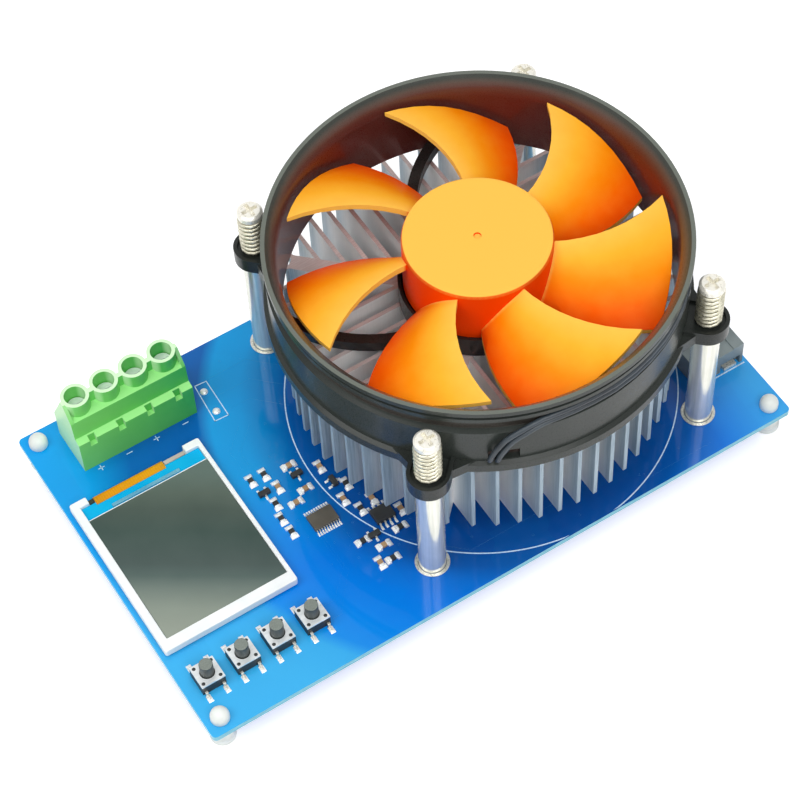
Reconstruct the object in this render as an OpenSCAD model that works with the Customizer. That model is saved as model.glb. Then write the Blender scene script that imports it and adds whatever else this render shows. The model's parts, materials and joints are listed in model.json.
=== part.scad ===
// Single-board dc electronic load. A blue circuit board carries a fan-cooled heatsink on four posts,
// a small display, four push buttons, a four-way wire terminal and a power jack.
// Frame: +X along the board's long side to the right, +Y to the back, +Z up. The origin is on the
// floor, half-way along the board and under the cooler's axis. Lengths are in millimetres.

/* [Board] */
// Length of the circuit board
board_w = 158.5; // [156:0.5:180]
// Depth of the circuit board
board_d = 94.5; // [94:0.5:98]
// Thickness of the circuit board
board_t = 1.6; // [1.2:0.1:2.4]
// Height of the nylon supports under the board
support_h = 6; // [5:0.5:12]
// Radius of a support's body
support_r = 2.6; // [2.4:0.1:3.2]
// Distance of a support's centre from the board's edges
support_inset = 3.8; // [3.6:0.1:5]

/* [Cooler] */
// Cooler axis from the board's right edge
cooler_from_right = 56.3; // [54.5:0.1:58.5]
// Cooler axis from the board's front edge
cooler_from_front = 49.2; // [48.5:0.1:49.3]
// Spacing of the four posts, both ways
post_pitch = 75; // [74.5:0.5:80]
// Radius of a post
post_r = 3.25; // [2.8:0.05:3.6]
// Radius of the round heatsink
sink_r = 45.2; // [42:0.1:46]
// Height of the heatsink
sink_h = 29.1; // [20:0.1:40]
// Radius of the heatsink's core
core_r = 15; // [14:0.5:18]
// Width of the heatsink's four diagonal arms
arm_w = 4; // [3:0.5:6]
// Thickness of a fin
fin_t = 1; // [0.7:0.1:1.6]
// Spacing of the fins
fin_pitch = 4.7; // [3.5:0.1:6]
// Thickness of the power transistors under the heatsink
transistor_h = 4.5; // [4:0.1:5]
// Thickness of the thermal pad
pad_t = 0.3; // [0.2:0.1:1]

/* [Fan] */
// Height of the fan's ring
ring_h = 21.4; // [20:0.1:30]
// Inner radius of the ring at its throat
throat_r = 45; // [42:0.1:45]
// Radius of the ring's upper lip
lip_r = 48.6; // [48.4:0.1:49]
// Radius of the ring's lower flange
flange_r = 49.3; // [49.3:0.1:49.8]
// Number of blades
blade_count = 7; // [5:1:9]
// Gap between the blade tips and the throat
tip_gap = 1.4; // [0.8:0.1:4]
// Radius of the hub
hub_r = 17.2; // [17:0.1:20]
// Radius of the rotor's shaft
shaft_r = 1.5; // [1.2:0.1:2]
// Radial running clearance of the shaft in its bearing
shaft_clearance = 0.04; // [0.02:0.01:0.1]

/* [Display] */
// Left edge of the display from the board's left edge
display_x = 1.2; // [0.5:0.1:4]
// Front edge of the display from the board's front edge
display_y = 23.4; // [20:0.1:26]
// Width of the display's frame
display_w = 34.7; // [30:0.1:36]
// Length of the display's frame
display_l = 46.4; // [40:0.1:50]
// Thickness of the display's frame
display_t = 2.2; // [2:0.1:4]

/* [Buttons] */
// First button from the board's left edge
button_x = 6.5; // [6:0.1:9]
// Row of buttons from the board's front edge
button_y = 13.7; // [12:0.1:15]
// Spacing of the buttons
button_pitch = 9.1; // [8:0.1:11]
// Width of a switch, both ways
switch_w = 6; // [5.8:0.1:7]
// Height of a switch's body
switch_h = 3.3; // [3:0.1:4]
// Radius of a button's stem
stem_r = 1.6; // [1.4:0.05:1.9]
// Height of a button's top above the board
button_h = 7; // [5:0.1:9]
// Travel of a button
button_travel = 0.25; // [0.15:0.05:0.3]

/* [Terminal] */
// Left end of the wire terminal from the board's left edge
terminal_x = 9.5; // [9:0.1:12]
// Front of the wire terminal from the board's front edge
terminal_y = 77.8; // [77.5:0.1:79]
// Number of poles
pole_count = 4; // [4:1:4]
// Spacing of the poles
pole_pitch = 7.62; // [7.2:0.02:8.2]
// Depth of the terminal's housing
terminal_d = 13; // [12.5:0.1:14.5]
// Height of the terminal's housing
terminal_h = 21; // [20.6:0.1:26]
// Lift of a wire clamp from open to closed
clamp_lift = 2.5; // [1.5:0.1:2.6]

/* [Power jack] */
// Middle of the jack from the board's front edge
jack_y = 23; // [21:0.1:27]
// Length of the jack
jack_l = 14; // [13.6:0.1:15]
// Width of the jack
jack_w = 10.2; // [9.6:0.1:11]
// Height of the jack
jack_h = 7.2; // [7:0.1:9]
// Radius of the jack's socket
socket_r = 2.85; // [2.8:0.05:3]
// Radius of the jack's centre pin
jack_pin_r = 1.05; // [0.9:0.05:1.3]

/* [Hidden] */
$fn = 64;
// Overlap that lets one solid cut or join another cleanly
bite = 0.4;
// Play between pieces that slide past each other
slide_gap = 0.2;

// Board
top_z = support_h + board_t;
board_corner_r = 1.2;
support_foot_r = support_r + 0.5;
support_foot_h = 1.2;
support_neck_r = 1.6;
support_nose_r = 2.25;
support_nose_h = 1.2;
pin_below = 2.4;
pin_hole_gap = 0.15;

// Cooler levels above the board's top
sink_z = transistor_h + pad_t;
fan_z = sink_z + sink_h;
post_h = fan_z;
post_gap = 3.7;
post_far = max(post_pitch / sqrt(2), max(flange_r, lip_r) + post_gap);
post_spacing = post_far * sqrt(2);
screw_r = 1.5;
post_thread_depth = 8;
post_chamfer = 0.3;
post_screw_head_r = 2.75;
post_screw_head_h = 2;
lug_floor_t = 3.2;
lug_wall_h = 0.9;
lug_r = 4.9;
lug_wall_t = 0.9;
arm_root_w = 11.5;
arm_mid_w = 9;
arm_mid_in = 1.6;
lug_hole_gap = 0.3;
spring_wire_r = 0.5;
spring_r = 2.75;
spring_l = 12.2;
spring_turns = 8;
head_r = 3;
head_h = 1.8;
recess_w = 1;
recess_depth = 1.4;

// Power transistors
transistor_w = 10.2;
transistor_body_l = 9.2;
tab_l = 15.6;
tab_t = 1.3;
tab_hole_r = 1.8;
transistor_gap = 1.6;
leg_w = 0.8;
leg_t = 0.5;
leg_pitch = 2.54;
leg_reach = 2.6;

// Ring of the fan, heights above its own bottom
ring_wall = 3.5;
throat = min(throat_r, min(flange_r, lip_r) - ring_wall);
flange_t = 2.4;
wall_r = flange_r - 1;
wall_top = 0.63 * ring_h;
channel_r = lip_r - 1.7;
channel_h = 3;
ridge_r = lip_r - 0.4;
ridge_h = 1.2;
groove_r = lip_r - 1.3;
groove_h = 0.8;
lip_h = 1.3;
mouth_h = 2.4;
throat_h = 3;
step_h = 0.5;
base_z = 0.4;
base_t = 2;
base_rim_t = 0.7;
base_gap = 0.5;
base_r = hub_r + base_gap + base_rim_t;
base_rim_h = 6.4;
tube_r = 5.4;
tube_wall = 1.4;
tube_h = 16;
strut_w = 2.6;
strut_h = 3;
strut_count = 4;
strut_arc_r = 33.7;
strut_arc_far = 30.5;
strut_arc_turn = 20.4;
strut_from = 106;
strut_sweep = 70;
slot_w = 7;
slot_h = 3.2;
slot_z = max(flange_t + step_h, lug_floor_t) + 0.15;
slot_turn = -116.5;
base_slot_turn = 37.5;

// Rotor, heights above the ring's bottom
hub_top = ring_h - 0.5;
hub_wall = 1.3;
hub_roof = 1.6;
hub_skirt_z = 5.8;
hub_edge_r = 1;
hub_dimple_r = 0.9;
hub_dimple_depth = 0.5;
boss_r = 4;
boss_gap = 0.3;
yoke_t = 0.9;
magnet_t = 1.6;
air_gap = 0.5;
yoke_z = hub_skirt_z + 0.4;
magnet_z = yoke_z + 0.6;
hub_inner_r = hub_r - hub_wall;
yoke_inner_r = hub_inner_r - yoke_t;
magnet_inner_r = yoke_inner_r - magnet_t;
stator_r = magnet_inner_r - air_gap;
stator_z = 7.5;
stator_h = 7.5;
stator_poles = 4;
stator_ring_r = tube_r + 2;
pole_shoe_t = 1.6;
pole_stem_w = 3;
winding_t = 1.5;
motor_board_t = 1;
motor_board_r = hub_inner_r - 2.5;
bearing_z = base_z + 1.6;
bearing_h = tube_h - bearing_z;
clip_t = 0.5;
clip_r = 2.6;
clip_gap = 0.3;

// Blades: angles at root and tip, and heights above the ring's bottom
blade_tip_r = throat - tip_gap;
lead_root_turn = 16;
lead_tip_turn = 35;
chord_root_turn = 34;
chord_tip_turn = 39;
lead_root_z = hub_top - 1.5;
lead_tip_z = hub_top - 1.8;
drop_root = 10.6;
drop_tip = 11.6;
blade_root_t = 1.9;
blade_tip_t = 1.3;
blade_sweep_power = 1.3;
blade_camber = 0.16;
blade_rows = 8;
blade_columns = 8;

// Fan plug and header beside the heatsink
header_gap = 3.1;
header_w = 5.8;
header_reach = sink_r + header_gap + header_w / 2;
header_l = 7.6;
header_h = 7;
header_wall = 0.8;
header_floor = 1.2;
header_pin_pitch = 2.5;
header_pin_w = 0.64;
plug_h = 9;
plug_top = header_floor + plug_h;

// Fan lead, a pair of thin wires: each row is angle about the cooler's axis, radius, height above the
// ring's bottom, and how far the second wire lies along the circle and above the first
wire_r = 0.65;
wire_sides = 8;
inner_lead_z = base_z + strut_h + wire_r + 0.15;
outer_lead_r = max(wall_r, lip_r) + wire_r + 0.35;
channel_lead_r = channel_r + wire_r + 0.35;
channel_lead_z = wall_top + step_h + channel_h - wire_r + 0.05;
lead_pair = 1.6;
lead_route = [
    [-78, base_r - 2.9, inner_lead_z, 1.5, 0], [-80, base_r + 1.6, inner_lead_z, 1.7, 0],
    [-87, base_r + 7.6, inner_lead_z, 2, 0], [-94.5, base_r + 13.6, inner_lead_z, 2.3, 0],
    [-105, throat - 7, inner_lead_z, 2.7, 0], [-115, throat - 1, inner_lead_z + 0.1, 2.5, 0],
    [-119.3, wall_r - 0.3, inner_lead_z + 0.2, 1.8, 0],
    [-120.3, outer_lead_r + 0.4, inner_lead_z + 1.6, 1.7, -0.2],
    [-118.9, outer_lead_r + 0.2, inner_lead_z + 4.6, 1.7, -0.4],
    [-116.3, outer_lead_r, inner_lead_z + 8.2, 1.6, -0.7],
    [-112.3, channel_lead_r + 1.3, channel_lead_z - 1.7, 1.1, -1.2],
    [-106.5, channel_lead_r + 0.3, channel_lead_z - 0.4, 0.4, -1.6],
    for (turn = [-98:13:-20]) [turn, channel_lead_r, channel_lead_z, 0, -lead_pair],
    [-10, channel_lead_r + 0.5, channel_lead_z - 0.4, -0.5, -1.5],
    [-3, header_reach - 0.8, channel_lead_z - 3.4, -1.4, -1],
    [-1.4, header_reach, ring_h - 13.4, -2, 0],
    [-1.4, header_reach, 0, -header_pin_pitch, 0],
    [-1.4, header_reach, (plug_top - fan_z) / 2, -header_pin_pitch, 0],
    [-1.4, header_reach, plug_top - fan_z, -header_pin_pitch, 0]
];

// Display stack above the board
tape_t = 0.5;
tape_w = 4;
window_left = 2;
window_right = 1.1;
window_front = 3;
window_back = 2;
ear_w = 4.4;
rail_h = 0.8;
backlight_t = 0.8;
glass_t = 0.5;
ledge_l = 4.2;
driver_w = 18;
driver_l = 0.9;
driver_t = 0.3;
driver_from_glass = 0.6;
flex_w = 18.5;
flex_t = 0.15;
flex_from_ear = 1.5;
flex_fold_in = 1.2;
flex_bond_l = 0.9;
rail_inset = 0.8;
flex_tail = 6;
glass_fit = 0.1;
window_w = display_w - window_left - window_right;
window_l = display_l - window_front - window_back;

// Switches
cover_t = 0.4;
base_floor = 0.8;
cavity_r = 2.6;
foot_r = 2.3;
foot_h = 0.9;
dome_h = 0.5;
dome_r = 2.3;
press_gap = 0.05;
gull_w = 0.7;
gull_t = 0.3;
gull_reach = 1.8;
gull_foot = 1.1;
gull_pitch = 4.5;

// Terminal: the pole's own frame has its origin on the board under the screw
pole_y = 6.3;
terminal_w = pole_count * pole_pitch;
terminal_back = terminal_d - pole_y;
ledge_1_z = 10.6;
ledge_1_d = 1.8;
upper_h = 4.2;
ledge_2_z = terminal_h - upper_h;
collar_r = 3.4;
collar_hole_r = 2.55;
collar_front = 5.2;
ridge_w = 1.25;
end_web_t = 0.9;
chamber_w = 6;
chamber_half_d = 3.4;
chamber_z = 2;
clamp_w = 5.6;
clamp_wall = 0.6;
clamp_half_d = 3;
clamp_floor_t = 1;
clamp_window_h = 6;
clamp_nut_t = 1.8;
clamp_z = chamber_z + slide_gap;
clamp_h = clamp_floor_t + clamp_window_h + clamp_nut_t;
bar_t = 1;
bar_w = 3.4;
bar_z = clamp_z + clamp_floor_t + clamp_window_h - bar_t - 0.3;
chamber_top = clamp_z + clamp_h + clamp_lift + slide_gap;
screw_seat = chamber_top + 1.4;
terminal_head_r = 2.35;
terminal_head_h = 1.8;
terminal_shank_r = 1.5;
shank_gap = 0.05;
seat_gap = 0.1;
entry_w = 5;
entry_h = 5.2;
entry_z = clamp_z + clamp_floor_t - 0.1;
shoulder_z = entry_z + entry_h + 0.6;
chamber_wall = 0.7;
leg_slot_w = bar_w + 0.2;
leg_y = chamber_half_d + 0.5;
pin_w = 1.2;
notch_w = 1.8;
notch_h = 2.2;
notch_d = 1.4;

// Jack
jack_inset = 1.2;
jack_flange_l = 3;
jack_step = 0.3;
jack_axis_z = jack_h / 2;
socket_l = 9.6;
jack_pin_l = 9;
jack_pin_seat = 2;
jack_pin_point = 0.8;
jack_side_x = 0.9;
jack_side_l = 5.6;
jack_side_h = 3.2;
jack_side_d = 1.2;
jack_tab_l = 3.6;
jack_tab_h = 1.1;
jack_tab_out = 0.2;
jack_lug_t = 0.4;
jack_lug_w = 2.2;
jack_lug_h = 2.6;
jack_lug_y = 3;

// Small parts on the board: places from the board's front left corner, and turns
chip_l = 2;
chip_w = 1.25;
chip_h = 0.8;
chip_cap_l = 0.4;
capacitor_places = [
    [50.5, 52.4, 0], [50.5, 44.7, 0], [46.7, 42.6, 0], [45.3, 48.7, 90], [56.4, 48.2, 90],
    [56.4, 37.4, 90], [62.1, 33.9, 90], [66.2, 27.8, 90], [57.7, 21.5, 0], [54.5, 18, 90]
];
resistor_places = [
    [40.8, 53.6, 90], [44.3, 53.5, 90], [42.5, 44.9, 90], [41.5, 40.7, 90], [41.7, 36.3, 90],
    [59.2, 40.7, 90], [58.4, 32.9, 90], [63.5, 23.6, 0], [54.2, 25.1, 0], [57.6, 17.4, 0]
];
sot_places = [[41.7, 48.8, 0], [50.8, 49.2, 0], [57, 42.8, 90], [57.3, 25, 0]];
sot_l = 2.9;
sot_w = 1.3;
sot_h = 1.1;
sot_span = 2.4;
sot_pitch = 0.95;
soic_place = [61.8, 28.7, 0];
soic_l = 4.9;
soic_w = 3.9;
soic_h = 1.4;
soic_span = 6;
soic_pitch = 1.27;
controller_place = [49.6, 35.4, 0];
controller_l = 6.5;
controller_w = 4.4;
controller_h = 1;
controller_span = 6.4;
controller_pitch = 0.65;
controller_leads = 10;
chip_lead_t = 0.15;
chip_stand = 0.1;

// Frames
module on_board(x, y) {
    translate([x - board_w / 2, y - cooler_from_front, top_z]) children();
}

module on_cooler() {
    on_board(board_w - cooler_from_right, cooler_from_front) children();
}

module on_fan() {
    on_cooler() translate([0, 0, fan_z]) children();
}

module at_posts() {
    for (x = [-1, 1], y = [-1, 1]) translate([x, y, 0] * post_spacing / 2) children();
}

module at_supports() {
    for (x = [support_inset, board_w - support_inset], y = [support_inset, board_d - support_inset])
        on_board(x, y) children();
}

module at_pole(i) {
    on_board(terminal_x + (i + 0.5) * pole_pitch, terminal_y + pole_y) children();
}

module at_poles() {
    for (i = [0:pole_count - 1]) at_pole(i) children();
}

module at_switch(i) {
    on_board(button_x + i * button_pitch, button_y) children();
}

module at_switches() {
    for (i = [0:3]) at_switch(i) children();
}

module on_display() {
    on_board(display_x, display_y) children();
}

module on_jack() {
    on_board(board_w - jack_inset, jack_y) children();
}

module on_header() {
    on_cooler() translate([header_reach, 0, 0]) children();
}

// Shared shapes
module rounded_plate(w, d, r) {
    translate([r, 0]) square([w - 2 * r, d]);
    translate([0, r]) square([w, d - 2 * r]);
    for (x = [r, w - r], y = [r, d - r]) translate([x, y]) circle(r);
}

module centred_box(w, d, h) {
    translate([-w / 2, -d / 2, 0]) cube([w, d, h]);
}

module tube(r_out, r_in, h) {
    difference() {
        cylinder(r = r_out, h = h);
        translate([0, 0, -bite]) cylinder(r = r_in, h = h + 2 * bite);
    }
}

module cross_recess(size, depth) {
    centred_box(size, recess_w, depth + bite);
    centred_box(recess_w, size, depth + bite);
}

module screw(r_head, h_head, r_shank, l_shank, size) {
    difference() {
        union() {
            rotate_extrude() polygon([
                [0, 0], [r_head, 0], [r_head, h_head - 0.6], [r_head - 0.6, h_head], [0, h_head]
            ]);
            translate([0, 0, -l_shank]) cylinder(r = r_shank, h = l_shank + bite);
        }
        translate([0, 0, h_head - recess_depth]) cross_recess(size, recess_depth);
    }
}

// A round tube swept along points, by carrying one normal from ring to ring
function unit(v) = v / norm(v);
function tangent(p, i) = unit(p[min(i + 1, len(p) - 1)] - p[max(i - 1, 0)]);
function square_to(n, t) = unit(n - (n * t) * t);
function normals(p, start) = [
    for (i = 0, n = square_to(start, tangent(p, 0)); i < len(p);
         i = i + 1, n = i < len(p) ? square_to(n, tangent(p, i)) : n) n
];
function ring(c, t, n, r, sides) = [
    for (k = [0:sides - 1]) let (a = 360 * k / sides) c + r * (cos(a) * n + sin(a) * cross(t, n))
];

module swept_tube(p, r, sides, start) {
    n = normals(p, start);
    last = len(p) - 1;
    points = [for (i = [0:last]) each ring(p[i], tangent(p, i), n[i], r, sides)];
    walls = [
        for (i = [0:last - 1], k = [0:sides - 1])
            let (a = i * sides + k, b = i * sides + (k + 1) % sides)
            each [[a + sides, b + sides, b], [a + sides, b, a]]
    ];
    first_cap = [for (k = [0:sides - 1]) k];
    last_cap = [for (k = [sides - 1:-1:0]) last * sides + k];
    polyhedron(points, concat(walls, [first_cap, last_cap]));
}

// Smooth points through a route, one extra point between each two
function between(p, i) = let (
    a = p[max(i - 1, 0)],
    b = p[i],
    c = p[i + 1],
    d = p[min(i + 2, len(p) - 1)]
) (9 * b + 9 * c - a - d) / 16;
function smooth(p) = [
    for (i = [0:len(p) - 1]) each (i < len(p) - 1 ? [p[i], between(p, i)] : [p[i]])
];

// Board and its supports
module main_board() {
    color([0, 0.42, 0.86]) difference() {
        translate([-board_w / 2, -cooler_from_front, support_h])
            linear_extrude(board_t) rounded_plate(board_w, board_d, board_corner_r);
        at_supports() board_hole(support_neck_r);
        on_cooler() at_posts() board_hole(screw_r);
        at_poles() translate([0, -leg_y, 0]) board_hole(pin_w / 2 + 2 * pin_hole_gap);
        on_jack() jack_legs() board_hole(jack_lug_w / 2 + pin_hole_gap);
        on_header() header_places() board_hole(header_pin_w / 2 + 2 * pin_hole_gap);
        on_cooler() transistor_legs() board_hole(leg_w / 2 + pin_hole_gap);
    }
}

module board_hole(r) {
    translate([0, 0, -board_t - bite]) cylinder(r = r, h = board_t + 2 * bite);
}

module board_supports() {
    color([0.95, 0.95, 0.93]) at_supports() translate([0, 0, -top_z]) {
        cylinder(r = support_foot_r, h = support_foot_h);
        cylinder(r = support_r, h = support_h);
        cylinder(r = support_neck_r, h = top_z + bite);
        translate([0, 0, top_z]) cylinder(r = support_nose_r, h = support_nose_h);
        translate([0, 0, top_z + support_nose_h]) intersection() {
            sphere(support_nose_r);
            cylinder(r = support_nose_r + bite, h = support_nose_r + bite);
        }
    }
}

// Cooler fastening
module cooler_posts() {
    color([0.86, 0.86, 0.84]) on_cooler() at_posts() difference() {
        rotate_extrude() polygon([
            [0, 0], [post_r - post_chamfer, 0], [post_r, post_chamfer], [post_r, post_h - post_chamfer],
            [post_r - post_chamfer, post_h], [0, post_h]
        ]);
        translate([0, 0, -bite]) cylinder(r = screw_r, h = post_thread_depth + bite);
        translate([0, 0, post_h - post_thread_depth])
            cylinder(r = screw_r, h = post_thread_depth + bite);
    }
}

module post_screws() {
    color([0.75, 0.75, 0.73]) on_cooler() at_posts() translate([0, 0, -board_t]) mirror([0, 0, 1])
        screw(post_screw_head_r, post_screw_head_h, screw_r, board_t + post_thread_depth - 1,
              1.3 * post_screw_head_r);
}

module spring_screws() {
    color([0.84, 0.82, 0.74]) on_fan() at_posts() translate([0, 0, lug_floor_t + spring_l])
        screw(head_r, head_h, screw_r, spring_l + lug_floor_t + post_thread_depth - 1, 1.3 * head_r);
}

module cooler_springs() {
    per_turn = 12;
    rise = spring_l - 2 * spring_wire_r;
    coil = [
        for (i = [0:spring_turns * per_turn]) let (a = 360 * i / per_turn)
            [spring_r * cos(a), spring_r * sin(a), spring_wire_r + rise * i / (spring_turns * per_turn)]
    ];
    color([0.82, 0.79, 0.68]) on_fan() at_posts() translate([0, 0, lug_floor_t])
        swept_tube(coil, spring_wire_r, 6, [1, 0, 0]);
}

// Heatsink and the transistors that it cools
module fin_quarter() {
    reach = sink_r * cos(45) - fin_t;
    count = floor(reach / fin_pitch + 0.5);
    for (i = [-count:count - 1]) {
        x = (i + 0.5) * fin_pitch;
        from = max(abs(x), sqrt(max(core_r * core_r - x * x, 0)) - bite);
        translate([x - fin_t / 2, from]) square([fin_t, sqrt(sink_r * sink_r - x * x) - from]);
    }
}

module heatsink() {
    color([0.78, 0.8, 0.83]) on_cooler() translate([0, 0, sink_z]) linear_extrude(sink_h) {
        circle(core_r);
        for (a = [0:90:270]) rotate(a) {
            fin_quarter();
            rotate(45) translate([0, -arm_w / 2]) square([sink_r - 0.6, arm_w]);
        }
    }
}

module thermal_pad() {
    color([0.75, 0.75, 0.78]) on_cooler() translate([0, 0, transistor_h])
        centred_box(2 * transistor_w + transistor_gap, tab_l, pad_t);
}

module at_transistors() {
    for (side = [-1, 1]) translate([side * (transistor_w + transistor_gap) / 2, 0, 0]) children();
}

module power_transistors() {
    color([0.1, 0.1, 0.1]) on_cooler() at_transistors() translate([-transistor_w / 2, -tab_l / 2, 0])
        cube([transistor_w, transistor_body_l, transistor_h - tab_t]);
}

module transistor_legs() {
    at_transistors() for (i = [-1:1]) translate([i * leg_pitch, -tab_l / 2 - leg_reach, 0]) children();
}

module transistor_tabs() {
    leg_z = transistor_h - tab_t - 1.2;
    color([0.72, 0.72, 0.7]) on_cooler() {
        at_transistors() difference() {
            translate([0, 0, transistor_h - tab_t]) centred_box(transistor_w, tab_l, tab_t);
            translate([0, tab_l / 2 - 3, 0]) cylinder(r = tab_hole_r, h = transistor_h + bite);
        }
        transistor_legs() {
            translate([-leg_w / 2, -leg_t / 2, leg_z]) cube([leg_w, leg_reach + leg_t / 2, leg_t]);
            translate([-leg_w / 2, -leg_t / 2, -board_t - pin_below + 1])
                cube([leg_w, leg_t, leg_z + leg_t + board_t + pin_below - 1]);
        }
    }
}

// Fan frame: ring, lugs, motor base and curved struts
module ring_body() {
    channel_z = wall_top + step_h;
    ridge_z = channel_z + channel_h + step_h;
    groove_z = ridge_z + ridge_h + step_h / 2;
    rotate_extrude($fn = 128) polygon([
        [throat, 0], [flange_r, 0], [flange_r, flange_t], [wall_r, flange_t + step_h],
        [wall_r, wall_top], [channel_r, channel_z], [channel_r, channel_z + channel_h],
        [ridge_r, ridge_z], [ridge_r, ridge_z + ridge_h], [groove_r, groove_z],
        [groove_r, groove_z + groove_h], [lip_r, ring_h - lip_h], [lip_r, ring_h],
        [lip_r - 1, ring_h], [throat + 0.6, ring_h - mouth_h], [throat, ring_h - mouth_h - throat_h]
    ]);
}

module lug_plan(half_w) {
    translate([post_far, 0]) circle(half_w);
    translate([throat + 0.6, -half_w]) square([post_far - throat - 0.6, 2 * half_w]);
}

module lug() {
    linear_extrude(lug_floor_t) {
        lug_plan(lug_r);
        polygon([
            [throat + 0.3, -arm_root_w], [flange_r - arm_mid_in, -arm_mid_w], [post_far - 2, -lug_r],
            [post_far - 2, lug_r], [flange_r - arm_mid_in, arm_mid_w], [throat + 0.3, arm_root_w]
        ]);
    }
    difference() {
        linear_extrude(lug_floor_t + lug_wall_h) lug_plan(lug_r);
        translate([0, 0, lug_floor_t]) linear_extrude(lug_wall_h + bite) lug_plan(lug_r - lug_wall_t);
    }
}

module strut() {
    rotate(strut_arc_turn) translate([strut_arc_far, 0, base_z]) rotate(strut_from - strut_arc_turn)
        rotate_extrude(angle = strut_sweep) translate([strut_arc_r - strut_w / 2, 0])
            square([strut_w, strut_h]);
}

module motor_base() {
    translate([0, 0, base_z]) {
        cylinder(r = base_r, h = base_t);
        tube(base_r, base_r - base_rim_t, base_rim_h - base_z);
        cylinder(r = tube_r, h = tube_h - base_z);
    }
}

module fan_frame() {
    color([0.16, 0.16, 0.16]) on_fan() difference() {
        union() {
            ring_body();
            difference() {
                for (a = [45:90:315]) rotate(a) lug();
                translate([0, 0, -bite]) cylinder(r = throat + 0.5, h = ring_h);
            }
            intersection() {
                for (i = [0:strut_count - 1]) rotate(i * 360 / strut_count) strut();
                tube(throat + 1, base_r - base_rim_t - 1, ring_h);
            }
            motor_base();
        }
        translate([0, 0, bearing_z]) cylinder(r = tube_r - tube_wall, h = tube_h);
        at_posts() translate([0, 0, -bite])
            cylinder(r = screw_r + lug_hole_gap, h = lug_floor_t + 2 * bite);
        rotate(slot_turn) translate([throat - bite, -slot_w / 2, slot_z])
            cube([flange_r - throat + 1, slot_w, slot_h]);
        rotate(slot_turn + base_slot_turn)
            translate([base_r - base_rim_t - bite, -slot_w / 2, base_z + base_t])
            cube([base_rim_t + 2 * bite, slot_w, base_rim_h]);
    }
}

// Fan motor that stands still
module fan_bearing() {
    color([0.7, 0.5, 0.28]) on_fan() translate([0, 0, bearing_z + clip_t + 2 * clip_gap])
        tube(tube_r - tube_wall, shaft_r + shaft_clearance, bearing_h - clip_t - 2 * clip_gap);
}

module stator_core() {
    color([0.45, 0.46, 0.48]) on_fan() translate([0, 0, stator_z]) difference() {
        union() {
            cylinder(r = stator_ring_r, h = stator_h);
            intersection() {
                for (i = [0:stator_poles - 1]) rotate(i * 360 / stator_poles) {
                    translate([0, -pole_stem_w / 2, 0]) cube([stator_r, pole_stem_w, stator_h]);
                    translate([stator_r - pole_shoe_t, -stator_r / 2, 0])
                        cube([pole_shoe_t, stator_r, stator_h]);
                }
                cylinder(r = stator_r, h = stator_h);
            }
        }
        translate([0, 0, -bite]) cylinder(r = tube_r, h = stator_h + 2 * bite);
    }
}

module stator_windings() {
    from = stator_ring_r + 0.3;
    to = stator_r - pole_shoe_t - 0.3;
    color([0.75, 0.4, 0.18]) on_fan() translate([0, 0, stator_z])
        for (i = [0:stator_poles - 1]) rotate(i * 360 / stator_poles) difference() {
            translate([from, -pole_stem_w / 2 - winding_t, -winding_t])
                cube([to - from, pole_stem_w + 2 * winding_t, stator_h + 2 * winding_t]);
            translate([from - bite, -pole_stem_w / 2, 0])
                cube([to - from + 2 * bite, pole_stem_w, stator_h]);
        }
}

module motor_board() {
    color([0.1, 0.4, 0.2]) on_fan() translate([0, 0, base_z + base_t])
        tube(motor_board_r, tube_r, motor_board_t);
}

// Fan rotor
function blade_radius(u) = hub_r - hub_wall / 2 + u * (blade_tip_r - hub_r + hub_wall / 2);
function mixed(a, b, u) = a + (b - a) * u;
function blade_point(u, v) = let (
    turn = mixed(lead_root_turn, lead_tip_turn, pow(u, blade_sweep_power))
         - v * mixed(chord_root_turn, chord_tip_turn, u),
    fall = mixed(drop_root, drop_tip, u) * (v - blade_camber * sin(180 * v))
) [
    blade_radius(u) * cos(turn),
    blade_radius(u) * sin(turn),
    mixed(lead_root_z, lead_tip_z, u) - fall
];

module blade() {
    m = blade_rows;
    n = blade_columns;
    upper = [for (i = [0:m], j = [0:n]) blade_point(i / m, j / n)];
    lower = [
        for (i = [0:m], j = [0:n])
            blade_point(i / m, j / n) - [0, 0, mixed(blade_root_t, blade_tip_t, i / m)]
    ];
    s = n + 1;
    b = len(upper);
    tops = [
        for (i = [0:m - 1], j = [0:n - 1]) let (p = i * s + j)
            each [[p, p + s, p + s + 1], [p, p + s + 1, p + 1]]
    ];
    bottoms = [for (f = tops) [f[2] + b, f[1] + b, f[0] + b]];
    lead_side = [
        for (i = [0:m - 1]) let (p = i * s) each [[p + s, p, p + b], [p + s, p + b, p + s + b]]
    ];
    trail_side = [
        for (i = [0:m - 1]) let (p = i * s + n) each [[p, p + s, p + s + b], [p, p + s + b, p + b]]
    ];
    root_side = [for (j = [0:n - 1]) each [[j, j + 1, j + 1 + b], [j, j + 1 + b, j + b]]];
    tip_side = [
        for (j = [0:n - 1]) let (p = m * s + j) each [[p + 1, p, p + b], [p + 1, p + b, p + 1 + b]]
    ];
    polyhedron(concat(upper, lower), concat(tops, bottoms, lead_side, trail_side, root_side, tip_side));
}

module hub() {
    difference() {
        rotate_extrude($fn = 128) polygon([
            [0, hub_skirt_z], [hub_r, hub_skirt_z], [hub_r, hub_top - hub_edge_r],
            [hub_r - 0.3 * hub_edge_r, hub_top - 0.3 * hub_edge_r],
            [hub_r - hub_edge_r, hub_top], [0, hub_top]
        ]);
        difference() {
            translate([0, 0, hub_skirt_z - bite])
                cylinder(r = hub_inner_r, h = hub_top - hub_roof - hub_skirt_z + bite);
            translate([0, 0, tube_h + boss_gap]) cylinder(r = boss_r, h = hub_top);
        }
        cylinder(r = shaft_r, h = hub_top - hub_roof);
        translate([0, 0, hub_top - hub_dimple_depth]) cylinder(r = hub_dimple_r, h = hub_top);
    }
}

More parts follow.
